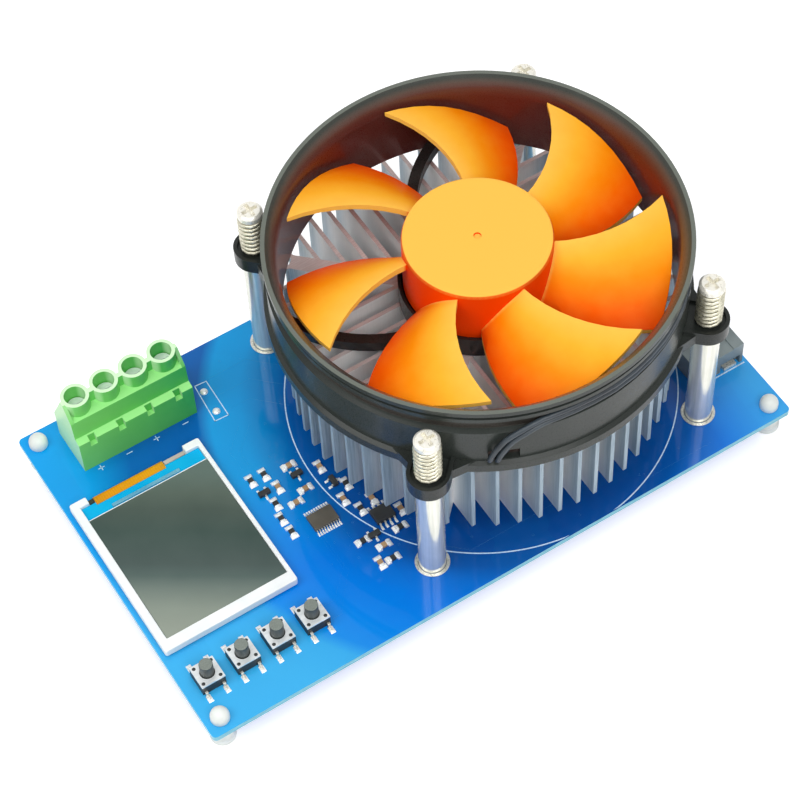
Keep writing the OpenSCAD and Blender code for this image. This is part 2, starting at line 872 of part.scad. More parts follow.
module fan_impeller() {
    color([1, 0.55, 0.1]) on_fan() {
        hub();
        difference() {
            for (i = [0:blade_count - 1]) rotate(i * 360 / blade_count) blade();
            translate([0, 0, -bite]) cylinder(r = hub_r - hub_wall / 4, h = ring_h, $fn = 128);
        }
    }
}

module rotor_yoke() {
    color([0.6, 0.6, 0.62]) on_fan() translate([0, 0, yoke_z])
        tube(hub_inner_r, yoke_inner_r, hub_top - hub_roof - yoke_z);
}

module rotor_magnet() {
    color([0.25, 0.22, 0.22]) on_fan() translate([0, 0, magnet_z])
        tube(yoke_inner_r, magnet_inner_r, hub_top - hub_roof - magnet_z - 1);
}

module rotor_shaft() {
    color([0.85, 0.85, 0.87]) on_fan() translate([0, 0, bearing_z + boss_gap])
        cylinder(r = shaft_r, h = hub_top - hub_roof - bearing_z - boss_gap);
}

module shaft_clip() {
    color([0.5, 0.5, 0.52]) on_fan() translate([0, 0, bearing_z + clip_gap])
        tube(clip_r, shaft_r, clip_t);
}

// Fan wiring
module fan_lead() {
    function spot(row, second) = let (
        turn = row[0] + second * row[3] / row[1] * 180 / PI
    ) [row[1] * cos(turn), row[1] * sin(turn), row[2] + second * row[4]];
    color([0.12, 0.13, 0.16]) on_fan() for (second = [0, 1])
        swept_tube(smooth([for (row = lead_route) spot(row, second)]), wire_r, wire_sides, [0, 0, 1]);
}

module header_places() {
    for (side = [-1, 1]) translate([0, side * header_pin_pitch / 2 - header_pin_pitch, 0]) children();
}

module fan_plug() {
    inset = header_wall + slide_gap;
    pin_way = header_pin_w + slide_gap;
    color([0.93, 0.93, 0.9]) on_header() translate([0, -header_pin_pitch, 0]) difference() {
        translate([0, 0, header_floor]) centred_box(header_w - 2 * inset, header_l - 2 * inset, plug_h);
        for (side = [-1, 1]) translate([0, side * header_pin_pitch / 2, header_floor - bite])
            centred_box(pin_way, pin_way, header_h - header_floor + bite);
    }
}

module fan_header() {
    color([0.9, 0.9, 0.86]) on_header() translate([0, -header_pin_pitch, 0]) difference() {
        centred_box(header_w, header_l, header_h);
        translate([0, 0, header_floor])
            centred_box(header_w - 2 * header_wall, header_l - 2 * header_wall, header_h);
        for (side = [-1, 1]) translate([0, side * header_pin_pitch / 2, -bite])
            centred_box(header_pin_w, header_pin_w, header_floor + 2 * bite);
    }
}

module header_pins() {
    color([0.85, 0.83, 0.75]) on_header() header_places() translate([0, 0, -board_t - pin_below])
        centred_box(header_pin_w, header_pin_w, board_t + pin_below + header_h - slide_gap);
}

// Display
module display_tape() {
    color([0.95, 0.95, 0.95]) on_display() for (x = [1, display_w - tape_w - 1])
        translate([x, 1, 0]) cube([tape_w, display_l - 2, tape_t]);
}

module display_window(fit) {
    translate([window_left + fit, window_front + fit]) square([window_w - 2 * fit, window_l - 2 * fit]);
}

module display_frame() {
    color([0.96, 0.96, 0.95]) on_display() translate([0, 0, tape_t]) difference() {
        linear_extrude(display_t) rounded_plate(display_w, display_l, 0.6);
        translate([0, 0, -bite]) linear_extrude(display_t + 2 * bite) display_window(0);
        translate([ear_w, window_front + window_l - bite, rail_h])
            cube([display_w - 2 * ear_w, window_back + 2 * bite, display_t]);
        translate([ear_w, display_l - rail_inset, -bite])
            cube([display_w - 2 * ear_w, rail_inset + bite, display_t]);
    }
}

module display_backlight() {
    color([0.9, 0.92, 0.95]) on_display() translate([0, 0, tape_t])
        linear_extrude(backlight_t) display_window(glass_fit);
}

module display_lower_glass() {
    color([0.3, 0.65, 0.8]) on_display() translate([0, 0, tape_t + backlight_t])
        linear_extrude(glass_t) display_window(glass_fit);
}

module display_upper_glass() {
    color([0.28, 0.32, 0.3]) on_display() translate([0, 0, tape_t + backlight_t + glass_t])
        linear_extrude(glass_t) difference() {
            display_window(glass_fit);
            translate([0, window_front + window_l - ledge_l]) square([display_w, ledge_l]);
        }
}

module display_driver_chip() {
    driver_x = window_left + (window_w - driver_w) / 2;
    driver_y = window_front + window_l - ledge_l + driver_from_glass;
    color([0.2, 0.22, 0.25]) on_display() translate([driver_x, driver_y, tape_t + backlight_t + glass_t])
        cube([driver_w, driver_l, driver_t]);
}

module display_flex() {
    z = tape_t + backlight_t + glass_t;
    fold_r = (z + flex_t) / 2;
    fold_y = display_l - flex_fold_in;
    bond_y = window_front + window_l - flex_bond_l;
    color([0.85, 0.55, 0.1]) on_display() translate([ear_w + flex_from_ear, 0, 0])
        rotate([90, 0, 90]) linear_extrude(flex_w) {
            translate([bond_y, z]) square([fold_y - bond_y, flex_t]);
            translate([fold_y - flex_tail, 0]) square([flex_tail, flex_t]);
            translate([fold_y, fold_r]) intersection() {
                difference() {
                    circle(fold_r);
                    circle(fold_r - flex_t);
                }
                translate([0, -fold_r]) square([fold_r, 2 * fold_r]);
            }
        }
}

// Push buttons
module switch_bases() {
    color([0.12, 0.12, 0.12]) at_switches() difference() {
        centred_box(switch_w, switch_w, switch_h - cover_t);
        translate([0, 0, base_floor]) cylinder(r = cavity_r, h = switch_h);
    }
}

module switch_covers() {
    color([0.82, 0.82, 0.8]) at_switches() translate([0, 0, switch_h - cover_t]) difference() {
        centred_box(switch_w, switch_w, cover_t);
        translate([0, 0, -bite]) cylinder(r = stem_r + slide_gap, h = cover_t + 2 * bite);
        for (x = [-1, 1], y = [-1, 1]) translate([x, y, 0] * (switch_w / 2 - 0.8) + [0, 0, cover_t / 2])
            cylinder(r = 0.45, h = cover_t);
    }
}

module switch_leads() {
    out = switch_w / 2;
    color([0.8, 0.8, 0.78]) at_switches() for (x = [-1, 1], turn = [0, 180])
        rotate(turn) translate([x * gull_pitch / 2 - gull_w / 2, out, 0]) rotate([90, 0, 90])
            linear_extrude(gull_w) polygon([
                [0, 1.3], [0, 1.3 - gull_t], [gull_reach - gull_foot - gull_t, 1.3 - gull_t],
                [gull_reach - gull_foot - gull_t, 0], [gull_reach, 0], [gull_reach, gull_t],
                [gull_reach - gull_foot, gull_t], [gull_reach - gull_foot, 1.3]
            ]);
}

module switch_domes() {
    steps = 5;
    arch = [
        for (k = [0:steps]) let (x = 1 - k / steps) [dome_r * x, dome_h * (1 - x * x)]
    ];
    color([0.8, 0.78, 0.6]) at_switches() translate([0, 0, base_floor])
        rotate_extrude() polygon(concat([[0, 0]], arch));
}

module button(i) {
    foot_z = base_floor + dome_h + button_travel + press_gap;
    color([0.15, 0.15, 0.15]) at_switch(i) {
        translate([0, 0, foot_z]) cylinder(r = foot_r, h = foot_h);
        translate([0, 0, foot_z]) cylinder(r = stem_r, h = button_h - foot_z);
    }
}

// Wire terminal
module terminal_profile() {
    polygon([
        [0, 0], [0, ledge_1_z], [ledge_1_d, ledge_1_z + 0.6], [ledge_1_d + 0.4, ledge_2_z],
        [collar_front, ledge_2_z + 0.6], [collar_front, terminal_h],
        [collar_front + ridge_w, terminal_h], [pole_y + chamber_half_d + chamber_wall, chamber_top],
        [terminal_d, shoulder_z], [terminal_d, 0]
    ]);
}

// Sloped web that closes each end of the ledge in front of the collars
module end_web_profile() {
    polygon([
        [ledge_1_d + 0.3, ledge_2_z - bite], [ledge_1_d + 0.4, ledge_2_z],
        [ledge_1_d + 0.9, ledge_2_z + 0.6], [collar_front, terminal_h],
        [collar_front + bite, terminal_h], [collar_front + bite, ledge_2_z - bite]
    ]);
}

module pole_cavity() {
    translate([0, 0, screw_seat]) cylinder(r = collar_hole_r, h = terminal_h);
    translate([0, 0, chamber_top - bite]) cylinder(r = terminal_shank_r + slide_gap, h = terminal_h);
    translate([0, 0, chamber_z]) centred_box(chamber_w, 2 * chamber_half_d, chamber_top - chamber_z);
    translate([-entry_w / 2, 0, entry_z]) cube([entry_w, terminal_back + bite, entry_h]);
    translate([-leg_slot_w / 2, -leg_y - bar_t / 2 - slide_gap / 2, -bite])
        cube([leg_slot_w, leg_y, bar_z + bar_t + slide_gap / 2 + bite]);
    translate([-notch_w / 2, -pole_y - bite, ledge_1_z - notch_h])
        cube([notch_w, notch_d + bite, notch_h + 1]);
}

module terminal_housing() {
    color([0.25, 0.68, 0.25]) difference() {
        union() {
            on_board(terminal_x, terminal_y) rotate([90, 0, 90]) {
                linear_extrude(terminal_w) terminal_profile();
                for (end = [0, terminal_w - end_web_t]) translate([0, 0, end])
                    linear_extrude(end_web_t) end_web_profile();
            }
            at_poles() translate([0, 0, chamber_top])
                cylinder(r = collar_r, h = terminal_h - chamber_top);
        }
        at_poles() pole_cavity();
    }
}

module terminal_contacts() {
    color([0.78, 0.76, 0.7]) at_poles() {
        translate([-bar_w / 2, -leg_y - bar_t / 2, bar_z])
            cube([bar_w, leg_y + bar_t / 2 + clamp_half_d - slide_gap, bar_t]);
        translate([-bar_w / 2, -leg_y - bar_t / 2, 0]) cube([bar_w, bar_t, bar_z + bite]);
        translate([-pin_w / 2, -leg_y - bar_t / 2, -board_t - pin_below])
            cube([pin_w, bar_t, board_t + pin_below + bite]);
    }
}

module terminal_screw(i) {
    color([0.78, 0.78, 0.76]) at_pole(i) translate([0, 0, screw_seat + seat_gap]) difference() {
        union() {
            cylinder(r = terminal_head_r, h = terminal_head_h);
            translate([0, 0, bar_z + bar_t + seat_gap - screw_seat - seat_gap])
                cylinder(r = terminal_shank_r, h = screw_seat - bar_z - bar_t + bite);
        }
        translate([0, 0, terminal_head_h - recess_depth / 2])
            centred_box(2 * terminal_head_r + bite, 0.8, recess_depth);
    }
}

module wire_clamp(i) {
    color([0.72, 0.72, 0.7]) at_pole(i) translate([0, 0, clamp_z]) difference() {
        centred_box(clamp_w, 2 * clamp_half_d, clamp_h);
        translate([0, 0, clamp_floor_t])
            centred_box(clamp_w - 2 * clamp_wall, 2 * clamp_half_d + bite, clamp_window_h);
        cylinder(r = terminal_shank_r + shank_gap, h = clamp_h + bite);
        translate([0, 0, -bite]) cylinder(r = 0.6, h = clamp_floor_t);
    }
}

// Power jack, with its mouth near the board's right edge
module jack_legs() {
    for (side = [-1, 1]) translate([-jack_l + jack_lug_w, side * jack_lug_y, 0]) children();
}

module power_jack_housing() {
    color([0.1, 0.1, 0.1]) on_jack() difference() {
        union() {
            translate([-jack_flange_l, -jack_w / 2, 0]) cube([jack_flange_l, jack_w, jack_h]);
            translate([-jack_l, -jack_w / 2, 0]) cube([jack_l, jack_w, jack_h - jack_step]);
        }
        translate([-socket_l, 0, jack_axis_z]) rotate([0, 90, 0]) cylinder(r = socket_r, h = jack_l);
        translate([-socket_l - jack_pin_seat, 0, jack_axis_z]) rotate([0, 90, 0])
            cylinder(r = jack_pin_r, h = jack_l);
        translate([-jack_side_x - jack_side_l, -jack_w / 2 - bite, -bite])
            cube([jack_side_l, jack_side_d + bite, jack_side_h + bite]);
        jack_legs() translate([0, 0, -bite]) centred_box(jack_lug_w, jack_lug_t, jack_lug_h + bite);
    }
}

module power_jack_pin() {
    shaft_l = jack_pin_seat + jack_pin_l - jack_pin_point;
    color([0.85, 0.85, 0.83]) on_jack() translate([-socket_l - jack_pin_seat, 0, jack_axis_z])
        rotate([0, 90, 0]) {
            cylinder(r = jack_pin_r, h = shaft_l);
            translate([0, 0, shaft_l])
                cylinder(r1 = jack_pin_r, r2 = jack_pin_r - jack_pin_point / 2, h = jack_pin_point);
        }
}

module power_jack_contacts() {
    color([0.8, 0.8, 0.77]) on_jack() {
        jack_legs() translate([0, 0, -board_t - pin_below])
            centred_box(jack_lug_w, jack_lug_t, board_t + pin_below + jack_lug_h);
        translate([-jack_side_x - (jack_side_l + jack_tab_l) / 2, -jack_w / 2 - jack_tab_out, 0])
            cube([jack_tab_l, jack_side_d + jack_tab_out, jack_tab_h]);
    }
}

// Small parts on the board
module at_places(places) {
    for (p = places) on_board(p[0], p[1]) rotate(p[2]) children();
}

module controller_chip() {
    color([0.3, 0.29, 0.27]) at_places([controller_place]) translate([0, 0, chip_stand])
        centred_box(controller_l, controller_w, controller_h);
}

module small_chips() {
    color([0.13, 0.13, 0.13]) {
        at_places(sot_places) translate([0, 0, chip_stand]) centred_box(sot_l, sot_w, sot_h);
        at_places([soic_place]) translate([0, 0, chip_stand]) centred_box(soic_l, soic_w, soic_h);
    }
}

module gull_row(count, pitch, body_w, span, w, z) {
    foot = (span - body_w) / 2;
    for (i = [0:count - 1]) translate([(i - (count - 1) / 2) * pitch - w / 2, body_w / 2, 0])
        rotate([90, 0, 90]) linear_extrude(w) polygon([
            [0, z], [0.35 * foot, z], [0.35 * foot, 0], [foot, 0], [foot, chip_lead_t],
            [0.35 * foot + chip_lead_t, chip_lead_t], [0.35 * foot + chip_lead_t, z + chip_lead_t],
            [0, z + chip_lead_t]
        ]);
}

module chip_leads() {
    color([0.82, 0.82, 0.8]) {
        at_places([controller_place]) for (turn = [0, 180]) rotate(turn)
            gull_row(controller_leads, controller_pitch, controller_w, controller_span, 0.25, 0.5);
        at_places([soic_place]) for (turn = [0, 180]) rotate(turn)
            gull_row(4, soic_pitch, soic_w, soic_span, 0.42, 0.6);
        at_places(sot_places) {
            gull_row(2, 2 * sot_pitch, sot_w, sot_span, 0.42, 0.5);
            rotate(180) gull_row(1, sot_pitch, sot_w, sot_span, 0.42, 0.5);
        }
    }
}

module chip_body() {
    centred_box(chip_l - 2 * chip_cap_l, chip_w, chip_h);
}

module chip_capacitors() {
    color([0.72, 0.58, 0.42]) at_places(capacitor_places) chip_body();
}

module chip_resistors() {
    color([0.12, 0.12, 0.12]) at_places(resistor_places) chip_body();
}

module chip_end_caps() {
    color([0.85, 0.85, 0.83]) at_places(concat(capacitor_places, resistor_places))
        for (side = [-1, 1]) translate([side * (chip_l - chip_cap_l) / 2, 0, 0])
            centred_box(chip_cap_l, chip_w, chip_h);
}

main_board();
board_supports();
cooler_posts();
post_screws();
spring_screws();
cooler_springs();
heatsink();
thermal_pad();
power_transistors();
transistor_tabs();
fan_frame();
fan_bearing();
stator_core();
stator_windings();
motor_board();
fan_impeller();
rotor_yoke();
rotor_magnet();
rotor_shaft();
shaft_clip();
fan_lead();
fan_plug();
fan_header();
header_pins();
display_tape();
display_frame();
display_backlight();
display_lower_glass();
display_upper_glass();
display_driver_chip();
display_flex();
switch_bases();
switch_covers();
switch_leads();
switch_domes();
button(0);  // button_1
button(1);  // button_2
button(2);  // button_3
button(3);  // button_4
terminal_housing();
terminal_contacts();
terminal_screw(0);  // terminal_screw_1
terminal_screw(1);  // terminal_screw_2
terminal_screw(2);  // terminal_screw_3
terminal_screw(3);  // terminal_screw_4
wire_clamp(0);  // wire_clamp_1
wire_clamp(1);  // wire_clamp_2
wire_clamp(2);  // wire_clamp_3
wire_clamp(3);  // wire_clamp_4
power_jack_housing();
power_jack_pin();
power_jack_contacts();
controller_chip();
small_chips();
chip_leads();
chip_capacitors();
chip_resistors();
chip_end_caps();
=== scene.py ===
"""Looks of an open dc electronic load: a blue board with a fan cooler, display, buttons and terminal."""
import json
import math

import bpy
from mathutils import Matrix, Vector


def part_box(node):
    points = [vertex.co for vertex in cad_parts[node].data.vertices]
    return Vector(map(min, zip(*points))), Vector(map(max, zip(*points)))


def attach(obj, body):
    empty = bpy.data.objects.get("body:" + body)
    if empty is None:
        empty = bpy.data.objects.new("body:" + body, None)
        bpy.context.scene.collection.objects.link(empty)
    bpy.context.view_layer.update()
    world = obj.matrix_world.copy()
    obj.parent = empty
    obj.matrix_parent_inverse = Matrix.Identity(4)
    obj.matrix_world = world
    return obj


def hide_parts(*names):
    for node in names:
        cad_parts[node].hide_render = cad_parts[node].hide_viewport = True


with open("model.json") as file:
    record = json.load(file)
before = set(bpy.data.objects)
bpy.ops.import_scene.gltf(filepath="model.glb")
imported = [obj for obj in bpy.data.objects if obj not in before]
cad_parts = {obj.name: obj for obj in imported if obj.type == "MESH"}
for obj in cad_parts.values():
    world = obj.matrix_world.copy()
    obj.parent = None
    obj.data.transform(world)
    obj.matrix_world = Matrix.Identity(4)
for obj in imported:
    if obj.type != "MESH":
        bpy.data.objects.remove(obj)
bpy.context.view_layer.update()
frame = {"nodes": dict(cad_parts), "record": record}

nodes = frame["nodes"]
BODY = "board_unit"
MM = 0.001

# Lengths are in millimetres; places are measured from the board's front left corner and its top face
board_low, board_high = ([round(c / MM, 3) for c in corner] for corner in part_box("main_board"))
BOARD_LEFT, BOARD_FRONT, BOARD_BOTTOM = board_low
BOARD_RIGHT, BOARD_BACK, BOARD_TOP = board_high


def spot(x, y, z=0.0):
    """A place in metres from millimetres along, across and above the board."""
    return Vector(((x + BOARD_LEFT) * MM, (y + BOARD_FRONT) * MM, (z + BOARD_TOP) * MM))


def corners(node):
    """The low and the high corner of a CAD node's box, measured from the board's corner."""
    start = (BOARD_LEFT, BOARD_FRONT, BOARD_TOP)
    return [[round(c / MM - s, 3) for c, s in zip(corner, start)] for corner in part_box(node)]


def middle(node):
    """Where the middle of a CAD node stands on the board."""
    low, high = corners(node)
    return tuple(round((a + b) / 2, 3) for a, b in zip(low[:2], high[:2]))


COOLER = middle("heatsink")
FAN_BOTTOM = corners("fan_frame")[0][2]
POST_REACH = 37.5
POSTS = [(COOLER[0] + POST_REACH * x, COOLER[1] + POST_REACH * y) for x in (-1, 1) for y in (-1, 1)]
PRINTED_CIRCLE = (101.1, 47.0)
PRINT_INNER, PRINT_OUTER = 47.15, 47.45

TERMINAL_LEFT = corners("terminal_housing")[0][0]
TERMINAL_LENGTH = round(corners("terminal_housing")[1][0] - TERMINAL_LEFT, 3)
POLES = 4
JUMPER_HOLES = [(44.3, 82.1), (44.0, 75.5)]

BUTTONS = [middle(f"button_{number}") for number in range(1, 5)]
SWITCH_TOP = corners("switch_covers")[1][2]

DISPLAY_BACK = corners("display_frame")[1][1]
FLEX_LEFT, FLEX_RIGHT = (corner[0] for corner in corners("display_flex"))

# Chip capacitors and resistors, and then small transistors: along, across and turn in degrees
CHIP_PLACES = [
    (50.5, 52.4, 0), (50.5, 44.7, 0), (46.7, 42.6, 0), (45.3, 48.7, 90), (56.4, 48.2, 90),
    (56.4, 37.4, 90), (62.1, 33.9, 90), (66.2, 27.8, 90), (57.7, 21.5, 0), (54.5, 18.0, 90),
    (40.8, 53.6, 90), (44.3, 53.5, 90), (42.5, 44.9, 90), (41.5, 40.7, 90), (41.7, 36.3, 90),
    (59.2, 40.7, 90), (58.4, 32.9, 90), (63.5, 23.6, 0), (54.2, 25.1, 0), (57.6, 17.4, 0),
]
SMALL_TRANSISTORS = [(41.7, 48.8, 0), (50.8, 49.2, 0), (57.0, 42.8, 90), (57.3, 25.0, 0)]
EIGHT_LEAD_CHIP = (61.8, 28.7)
CONTROLLER = middle("controller_chip")

# How far ink, solder and covered holes start above the board, so that no two faces share a plane
INK_GAP, SOLDER_GAP, VIA_GAP = 0.005, 0.004, 0.003

# Camera, solved from the photograph's board corners, posts and switches
CAMERA_AIM = (82.466, 53.866)
CAMERA_DISTANCE = 599.449
CAMERA_TURN, CAMERA_RISE, CAMERA_ROLL = (math.radians(a) for a in (-29.329, 55.605, -3.527))
FOCAL_PIXELS, PHOTO_PIXELS = 2498.4, 800
SENSOR_WIDTH = 36.0


def make_camera():
    back = Vector((
        math.sin(CAMERA_TURN) * math.cos(CAMERA_RISE),
        -math.cos(CAMERA_TURN) * math.cos(CAMERA_RISE),
        math.sin(CAMERA_RISE),
    ))
    right = Vector((math.cos(CAMERA_TURN), math.sin(CAMERA_TURN), 0.0))
    up = back.cross(right)
    across = math.cos(CAMERA_ROLL) * right + math.sin(CAMERA_ROLL) * up
    upward = -math.sin(CAMERA_ROLL) * right + math.cos(CAMERA_ROLL) * up
    place = spot(*CAMERA_AIM) + back * CAMERA_DISTANCE * MM
    bpy.ops.object.camera_add()
    camera = bpy.context.object
    camera.name = "photo_camera"
    turn = Matrix((across, upward, back)).transposed()
    camera.matrix_world = Matrix.Translation(place) @ turn.to_4x4()
    camera.data.sensor_width = SENSOR_WIDTH
    camera.data.lens = FOCAL_PIXELS / PHOTO_PIXELS * SENSOR_WIDTH
    camera.data.clip_start = 0.01
    bpy.context.scene.camera = camera


# Material nodes


def shade(red, green, blue):
    """A colour given in 0 to 255 screen steps."""
    def linear(c):
        c /= 255
        return c / 12.92 if c <= 0.04045 else ((c + 0.055) / 1.055) ** 2.4
    return (linear(red), linear(green), linear(blue), 1.0)


def grey(level):
    return (level, level, level, 1.0)


def finish_named(name, rough, metallic=0.0, coat=0.0, coat_rough=0.12, specular=0.5):
    """A new material with its shader, and the constant values on the shader's own sockets."""
    material = bpy.data.materials.new(name)
    material.use_nodes = True
    tree = material.node_tree
    tree.nodes.clear()
    out = tree.nodes.new("ShaderNodeOutputMaterial")
    shader = tree.nodes.new("ShaderNodeBsdfPrincipled")
    tree.links.new(shader.outputs["BSDF"], out.inputs["Surface"])
    shader.inputs["Roughness"].default_value = rough
    shader.inputs["Metallic"].default_value = metallic
    shader.inputs["Coat Weight"].default_value = coat
    shader.inputs["Coat Roughness"].default_value = coat_rough
    shader.inputs["Specular IOR Level"].default_value = specular
    return material, tree, shader


def place_on_piece(tree, stretch=(1, 1, 1)):
    """Object coordinates in millimetres, stretched where a finish has a direction."""
    where = tree.nodes.new("ShaderNodeTexCoord")
    mapping = tree.nodes.new("ShaderNodeMapping")
    mapping.inputs["Scale"].default_value = [1000 * s for s in stretch]
    tree.links.new(where.outputs["Object"], mapping.inputs["Vector"])
    return mapping.outputs["Vector"]


def cloud(tree, where, scale, detail=3.0, rough=0.55):
    noise = tree.nodes.new("ShaderNodeTexNoise")
    noise.inputs["Scale"].default_value = scale
    noise.inputs["Detail"].default_value = detail
    noise.inputs["Roughness"].default_value = rough
    tree.links.new(where, noise.inputs["Vector"])
    return noise.outputs["Fac"]


def ramp(tree, amount, *stops):
    """Colours along an amount, each stop a (place, colour) pair."""
    node = tree.nodes.new("ShaderNodeValToRGB")
    steps = node.color_ramp.elements
    while len(steps) < len(stops):
        steps.new(0.5)
    for step, (place, colour) in zip(steps, stops):
        step.position = place
        step.color = colour
    tree.links.new(amount, node.inputs["Fac"])
    return node.outputs["Color"]


def fade(tree, amount, start, end, first=0.0, last=1.0):
    """A level that goes from one value to another along an amount."""
    return ramp(tree, amount, (start, grey(first)), (end, grey(last)))


def patchy(tree, amount, dark, light):
    """Two tones spread by a cloud or by streaks."""
    return ramp(tree, amount, (0.3, dark), (0.7, light))


def mixed(tree, amount, first, second):
    """Two colours mixed by an amount; each is a socket or a plain value."""
    node = tree.nodes.new("ShaderNodeMix")
    node.data_type = "RGBA"
    colours = {s.name: s for s in node.inputs if s.type == "RGBA"}
    sockets = (node.inputs["Factor"], colours["A"], colours["B"])
    for socket, value in zip(sockets, (amount, first, second)):
        if isinstance(value, (float, tuple)):
            socket.default_value = value
        else:
            tree.links.new(value, socket)
    return next(s for s in node.outputs if s.type == "RGBA")


def sums(tree, kind, first, second=None):
    """One arithmetic step; each side is a socket or a number."""
    node = tree.nodes.new("ShaderNodeMath")
    node.operation = kind
    for socket, value in zip(node.inputs, (first, second)):
        if value is None:
            continue
        if isinstance(value, (int, float)):
            socket.default_value = value
        else:
            tree.links.new(value, socket)
    return node.outputs["Value"]


def share(tree, value, start, length):
    """How far a value lies along a stretch: 0 at its start, 1 at its end."""
    return sums(tree, "DIVIDE", sums(tree, "SUBTRACT", value, start), length)


def parts_of(tree, vector):
    node = tree.nodes.new("ShaderNodeSeparateXYZ")
    tree.links.new(vector, node.inputs["Vector"])
    return node.outputs["X"], node.outputs["Y"], node.outputs["Z"]


def facing(tree, kind="Normal"):
    """How far a face points to the right, to the back and up."""
    geometry = tree.nodes.new("ShaderNodeNewGeometry")
    return parts_of(tree, geometry.outputs[kind])


def distance(tree, where, reach, centre=COOLER):
    """Distance from an upright axis on the board, as a share of a reach in millimetres."""
    x, y = parts_of(tree, where)[:2]
    dx = sums(tree, "SUBTRACT", x, centre[0] + BOARD_LEFT)
    dy = sums(tree, "SUBTRACT", y, centre[1] + BOARD_FRONT)
    squares = sums(tree, "ADD", sums(tree, "MULTIPLY", dx, dx), sums(tree, "MULTIPLY", dy, dy))
    return sums(tree, "DIVIDE", sums(tree, "SQRT", squares), reach)


def paint(tree, shader, tone):
    tree.links.new(tone, shader.inputs["Base Color"])


def dull(tree, shader, amount, low, high, start=0.3, end=0.7):
    """Uneven gloss: the roughness goes between two levels along an amount."""
    tree.links.new(fade(tree, amount, start, end, low, high), shader.inputs["Roughness"])


def raise_surface(tree, shader, height, strength, depth=0.01):
    bump = tree.nodes.new("ShaderNodeBump")
    bump.inputs["Strength"].default_value = strength
    bump.inputs["Distance"].default_value = depth * MM
    tree.links.new(height, bump.inputs["Height"])
    tree.links.new(bump.outputs["Normal"], shader.inputs["Normal"])


# Finishes


def moulded(name, dark, light, rough=0.4, grain=6.0, depth=0.01, specular=0.5):
    """Injection-moulded plastic: slow drift of tone, fine spark-eroded grain, uneven gloss."""
    material, tree, shader = finish_named(name, rough, specular=specular)
    where = place_on_piece(tree)
    slow = cloud(tree, where, 0.12, 2.0)
    fine = cloud(tree, where, grain, 2.0)
    tone = patchy(tree, slow, dark, light)
    paint(tree, shader, mixed(tree, 0.12, tone, patchy(tree, fine, dark, light)))
    dull(tree, shader, cloud(tree, where, 0.72, 3.0), rough - 0.06, rough + 0.08)
    raise_surface(tree, shader, fine, 0.25, depth)
    return material


def plated(name, dark, light, rough, streak=(1, 1, 1), scale=5.0, depth=0.01, metallic=1.0):
    """Bare or plated metal with drawn or turned streaks and a little tarnish."""
    material, tree, shader = finish_named(name, rough, metallic=metallic)
    lines = cloud(tree, place_on_piece(tree, streak), scale, 4.0, 0.6)
    tone = patchy(tree, lines, dark, light)
    stain = cloud(tree, place_on_piece(tree), 0.35, 3.0)
    tarnish = fade(tree, stain, 0.45, 0.8, 0.0, 0.35)
    paint(tree, shader, mixed(tree, tarnish, tone, dark))
    dull(tree, shader, lines, rough * 0.7, rough * 1.5, 0.25, 0.75)
    raise_surface(tree, shader, lines, 0.2, depth)
    return material


def board_coating():
    """Glossy blue solder mask over copper planes, with the woven glass edge left bare, and painted
    reflection, shade and light on its top.
    """
    material, tree, shader = finish_named("board_blue_mask", 0.3, coat=0.45, coat_rough=0.05, specular=0.1)
    where = place_on_piece(tree)
    away = distance(tree, where, 110.0, PRINTED_CIRCLE)
    # Painted reflection and painted shade on the top face: deep blue near the cooler, where the dark fan and
    # heatsink would be mirrored and shade falls in front of it, and pale cyan further out, where white
    # surroundings would be mirrored.
    front = ramp(
        tree, away,
        (0.40, shade(0, 66, 142)), (0.46, shade(0, 80, 162)), (0.50, shade(0, 104, 200)),
        (0.55, shade(0, 117, 222)), (0.62, shade(0, 128, 230)), (0.69, shade(2, 138, 230)),
        (0.72, shade(52, 171, 232)), (0.80, shade(58, 176, 233)),
    )
    # Behind the cooler the same painted reflection, with a band of painted shade in front of the terminal.
    rear_painted_tones = ramp(
        tree, away,
        (0.42, shade(0, 84, 160)), (0.49, shade(0, 132, 198)), (0.53, shade(0, 150, 216)),
        (0.595, shade(0, 154, 220)), (0.625, shade(0, 90, 170)), (0.78, shade(0, 94, 174)),
        (0.88, shade(0, 158, 230)),
    )
    x, y = parts_of(tree, where)[:2]
    deep = share(tree, y, BOARD_FRONT, BOARD_BACK - BOARD_FRONT)
    face = mixed(tree, fade(tree, deep, 0.28, 0.6), front, rear_painted_tones)
    # Painted light that grows towards the board's right end.
    along = share(tree, x, BOARD_LEFT, BOARD_RIGHT - BOARD_LEFT)
    face = mixed(tree, fade(tree, along, 0.88, 0.98, 0.0, 0.7), face, shade(70, 180, 236))
    planes = tree.nodes.new("ShaderNodeTexVoronoi")
    planes.distance = "CHEBYCHEV"
    planes.inputs["Scale"].default_value = 0.07
    tree.links.new(where, planes.inputs["Vector"])
    copper = ramp(tree, planes.outputs["Color"], (0.35, shade(0, 108, 206)), (0.75, shade(0, 142, 230)))
    face = mixed(tree, 0.08, face, copper)
    up = facing(tree)[2]
    is_below = fade(tree, sums(tree, "MULTIPLY", up, -1.0), 0.3, 0.6)
    face = mixed(tree, is_below, face, mixed(tree, 0.2, shade(0, 124, 214), copper))
    layers = cloud(tree, place_on_piece(tree, (0.2, 0.2, 3.0)), 1.4, 3.0)
    edge = patchy(tree, layers, shade(84, 172, 200), shade(138, 205, 222))
    is_edge = fade(tree, sums(tree, "ABSOLUTE", up), 0.3, 0.6, 1.0, 0.0)
    paint(tree, shader, mixed(tree, is_edge, face, edge))
    weave = cloud(tree, where, 1.6, 2.0)
    dull(tree, shader, weave, 0.28, 0.36)
    raise_surface(tree, shader, weave, 0.02)
    return material


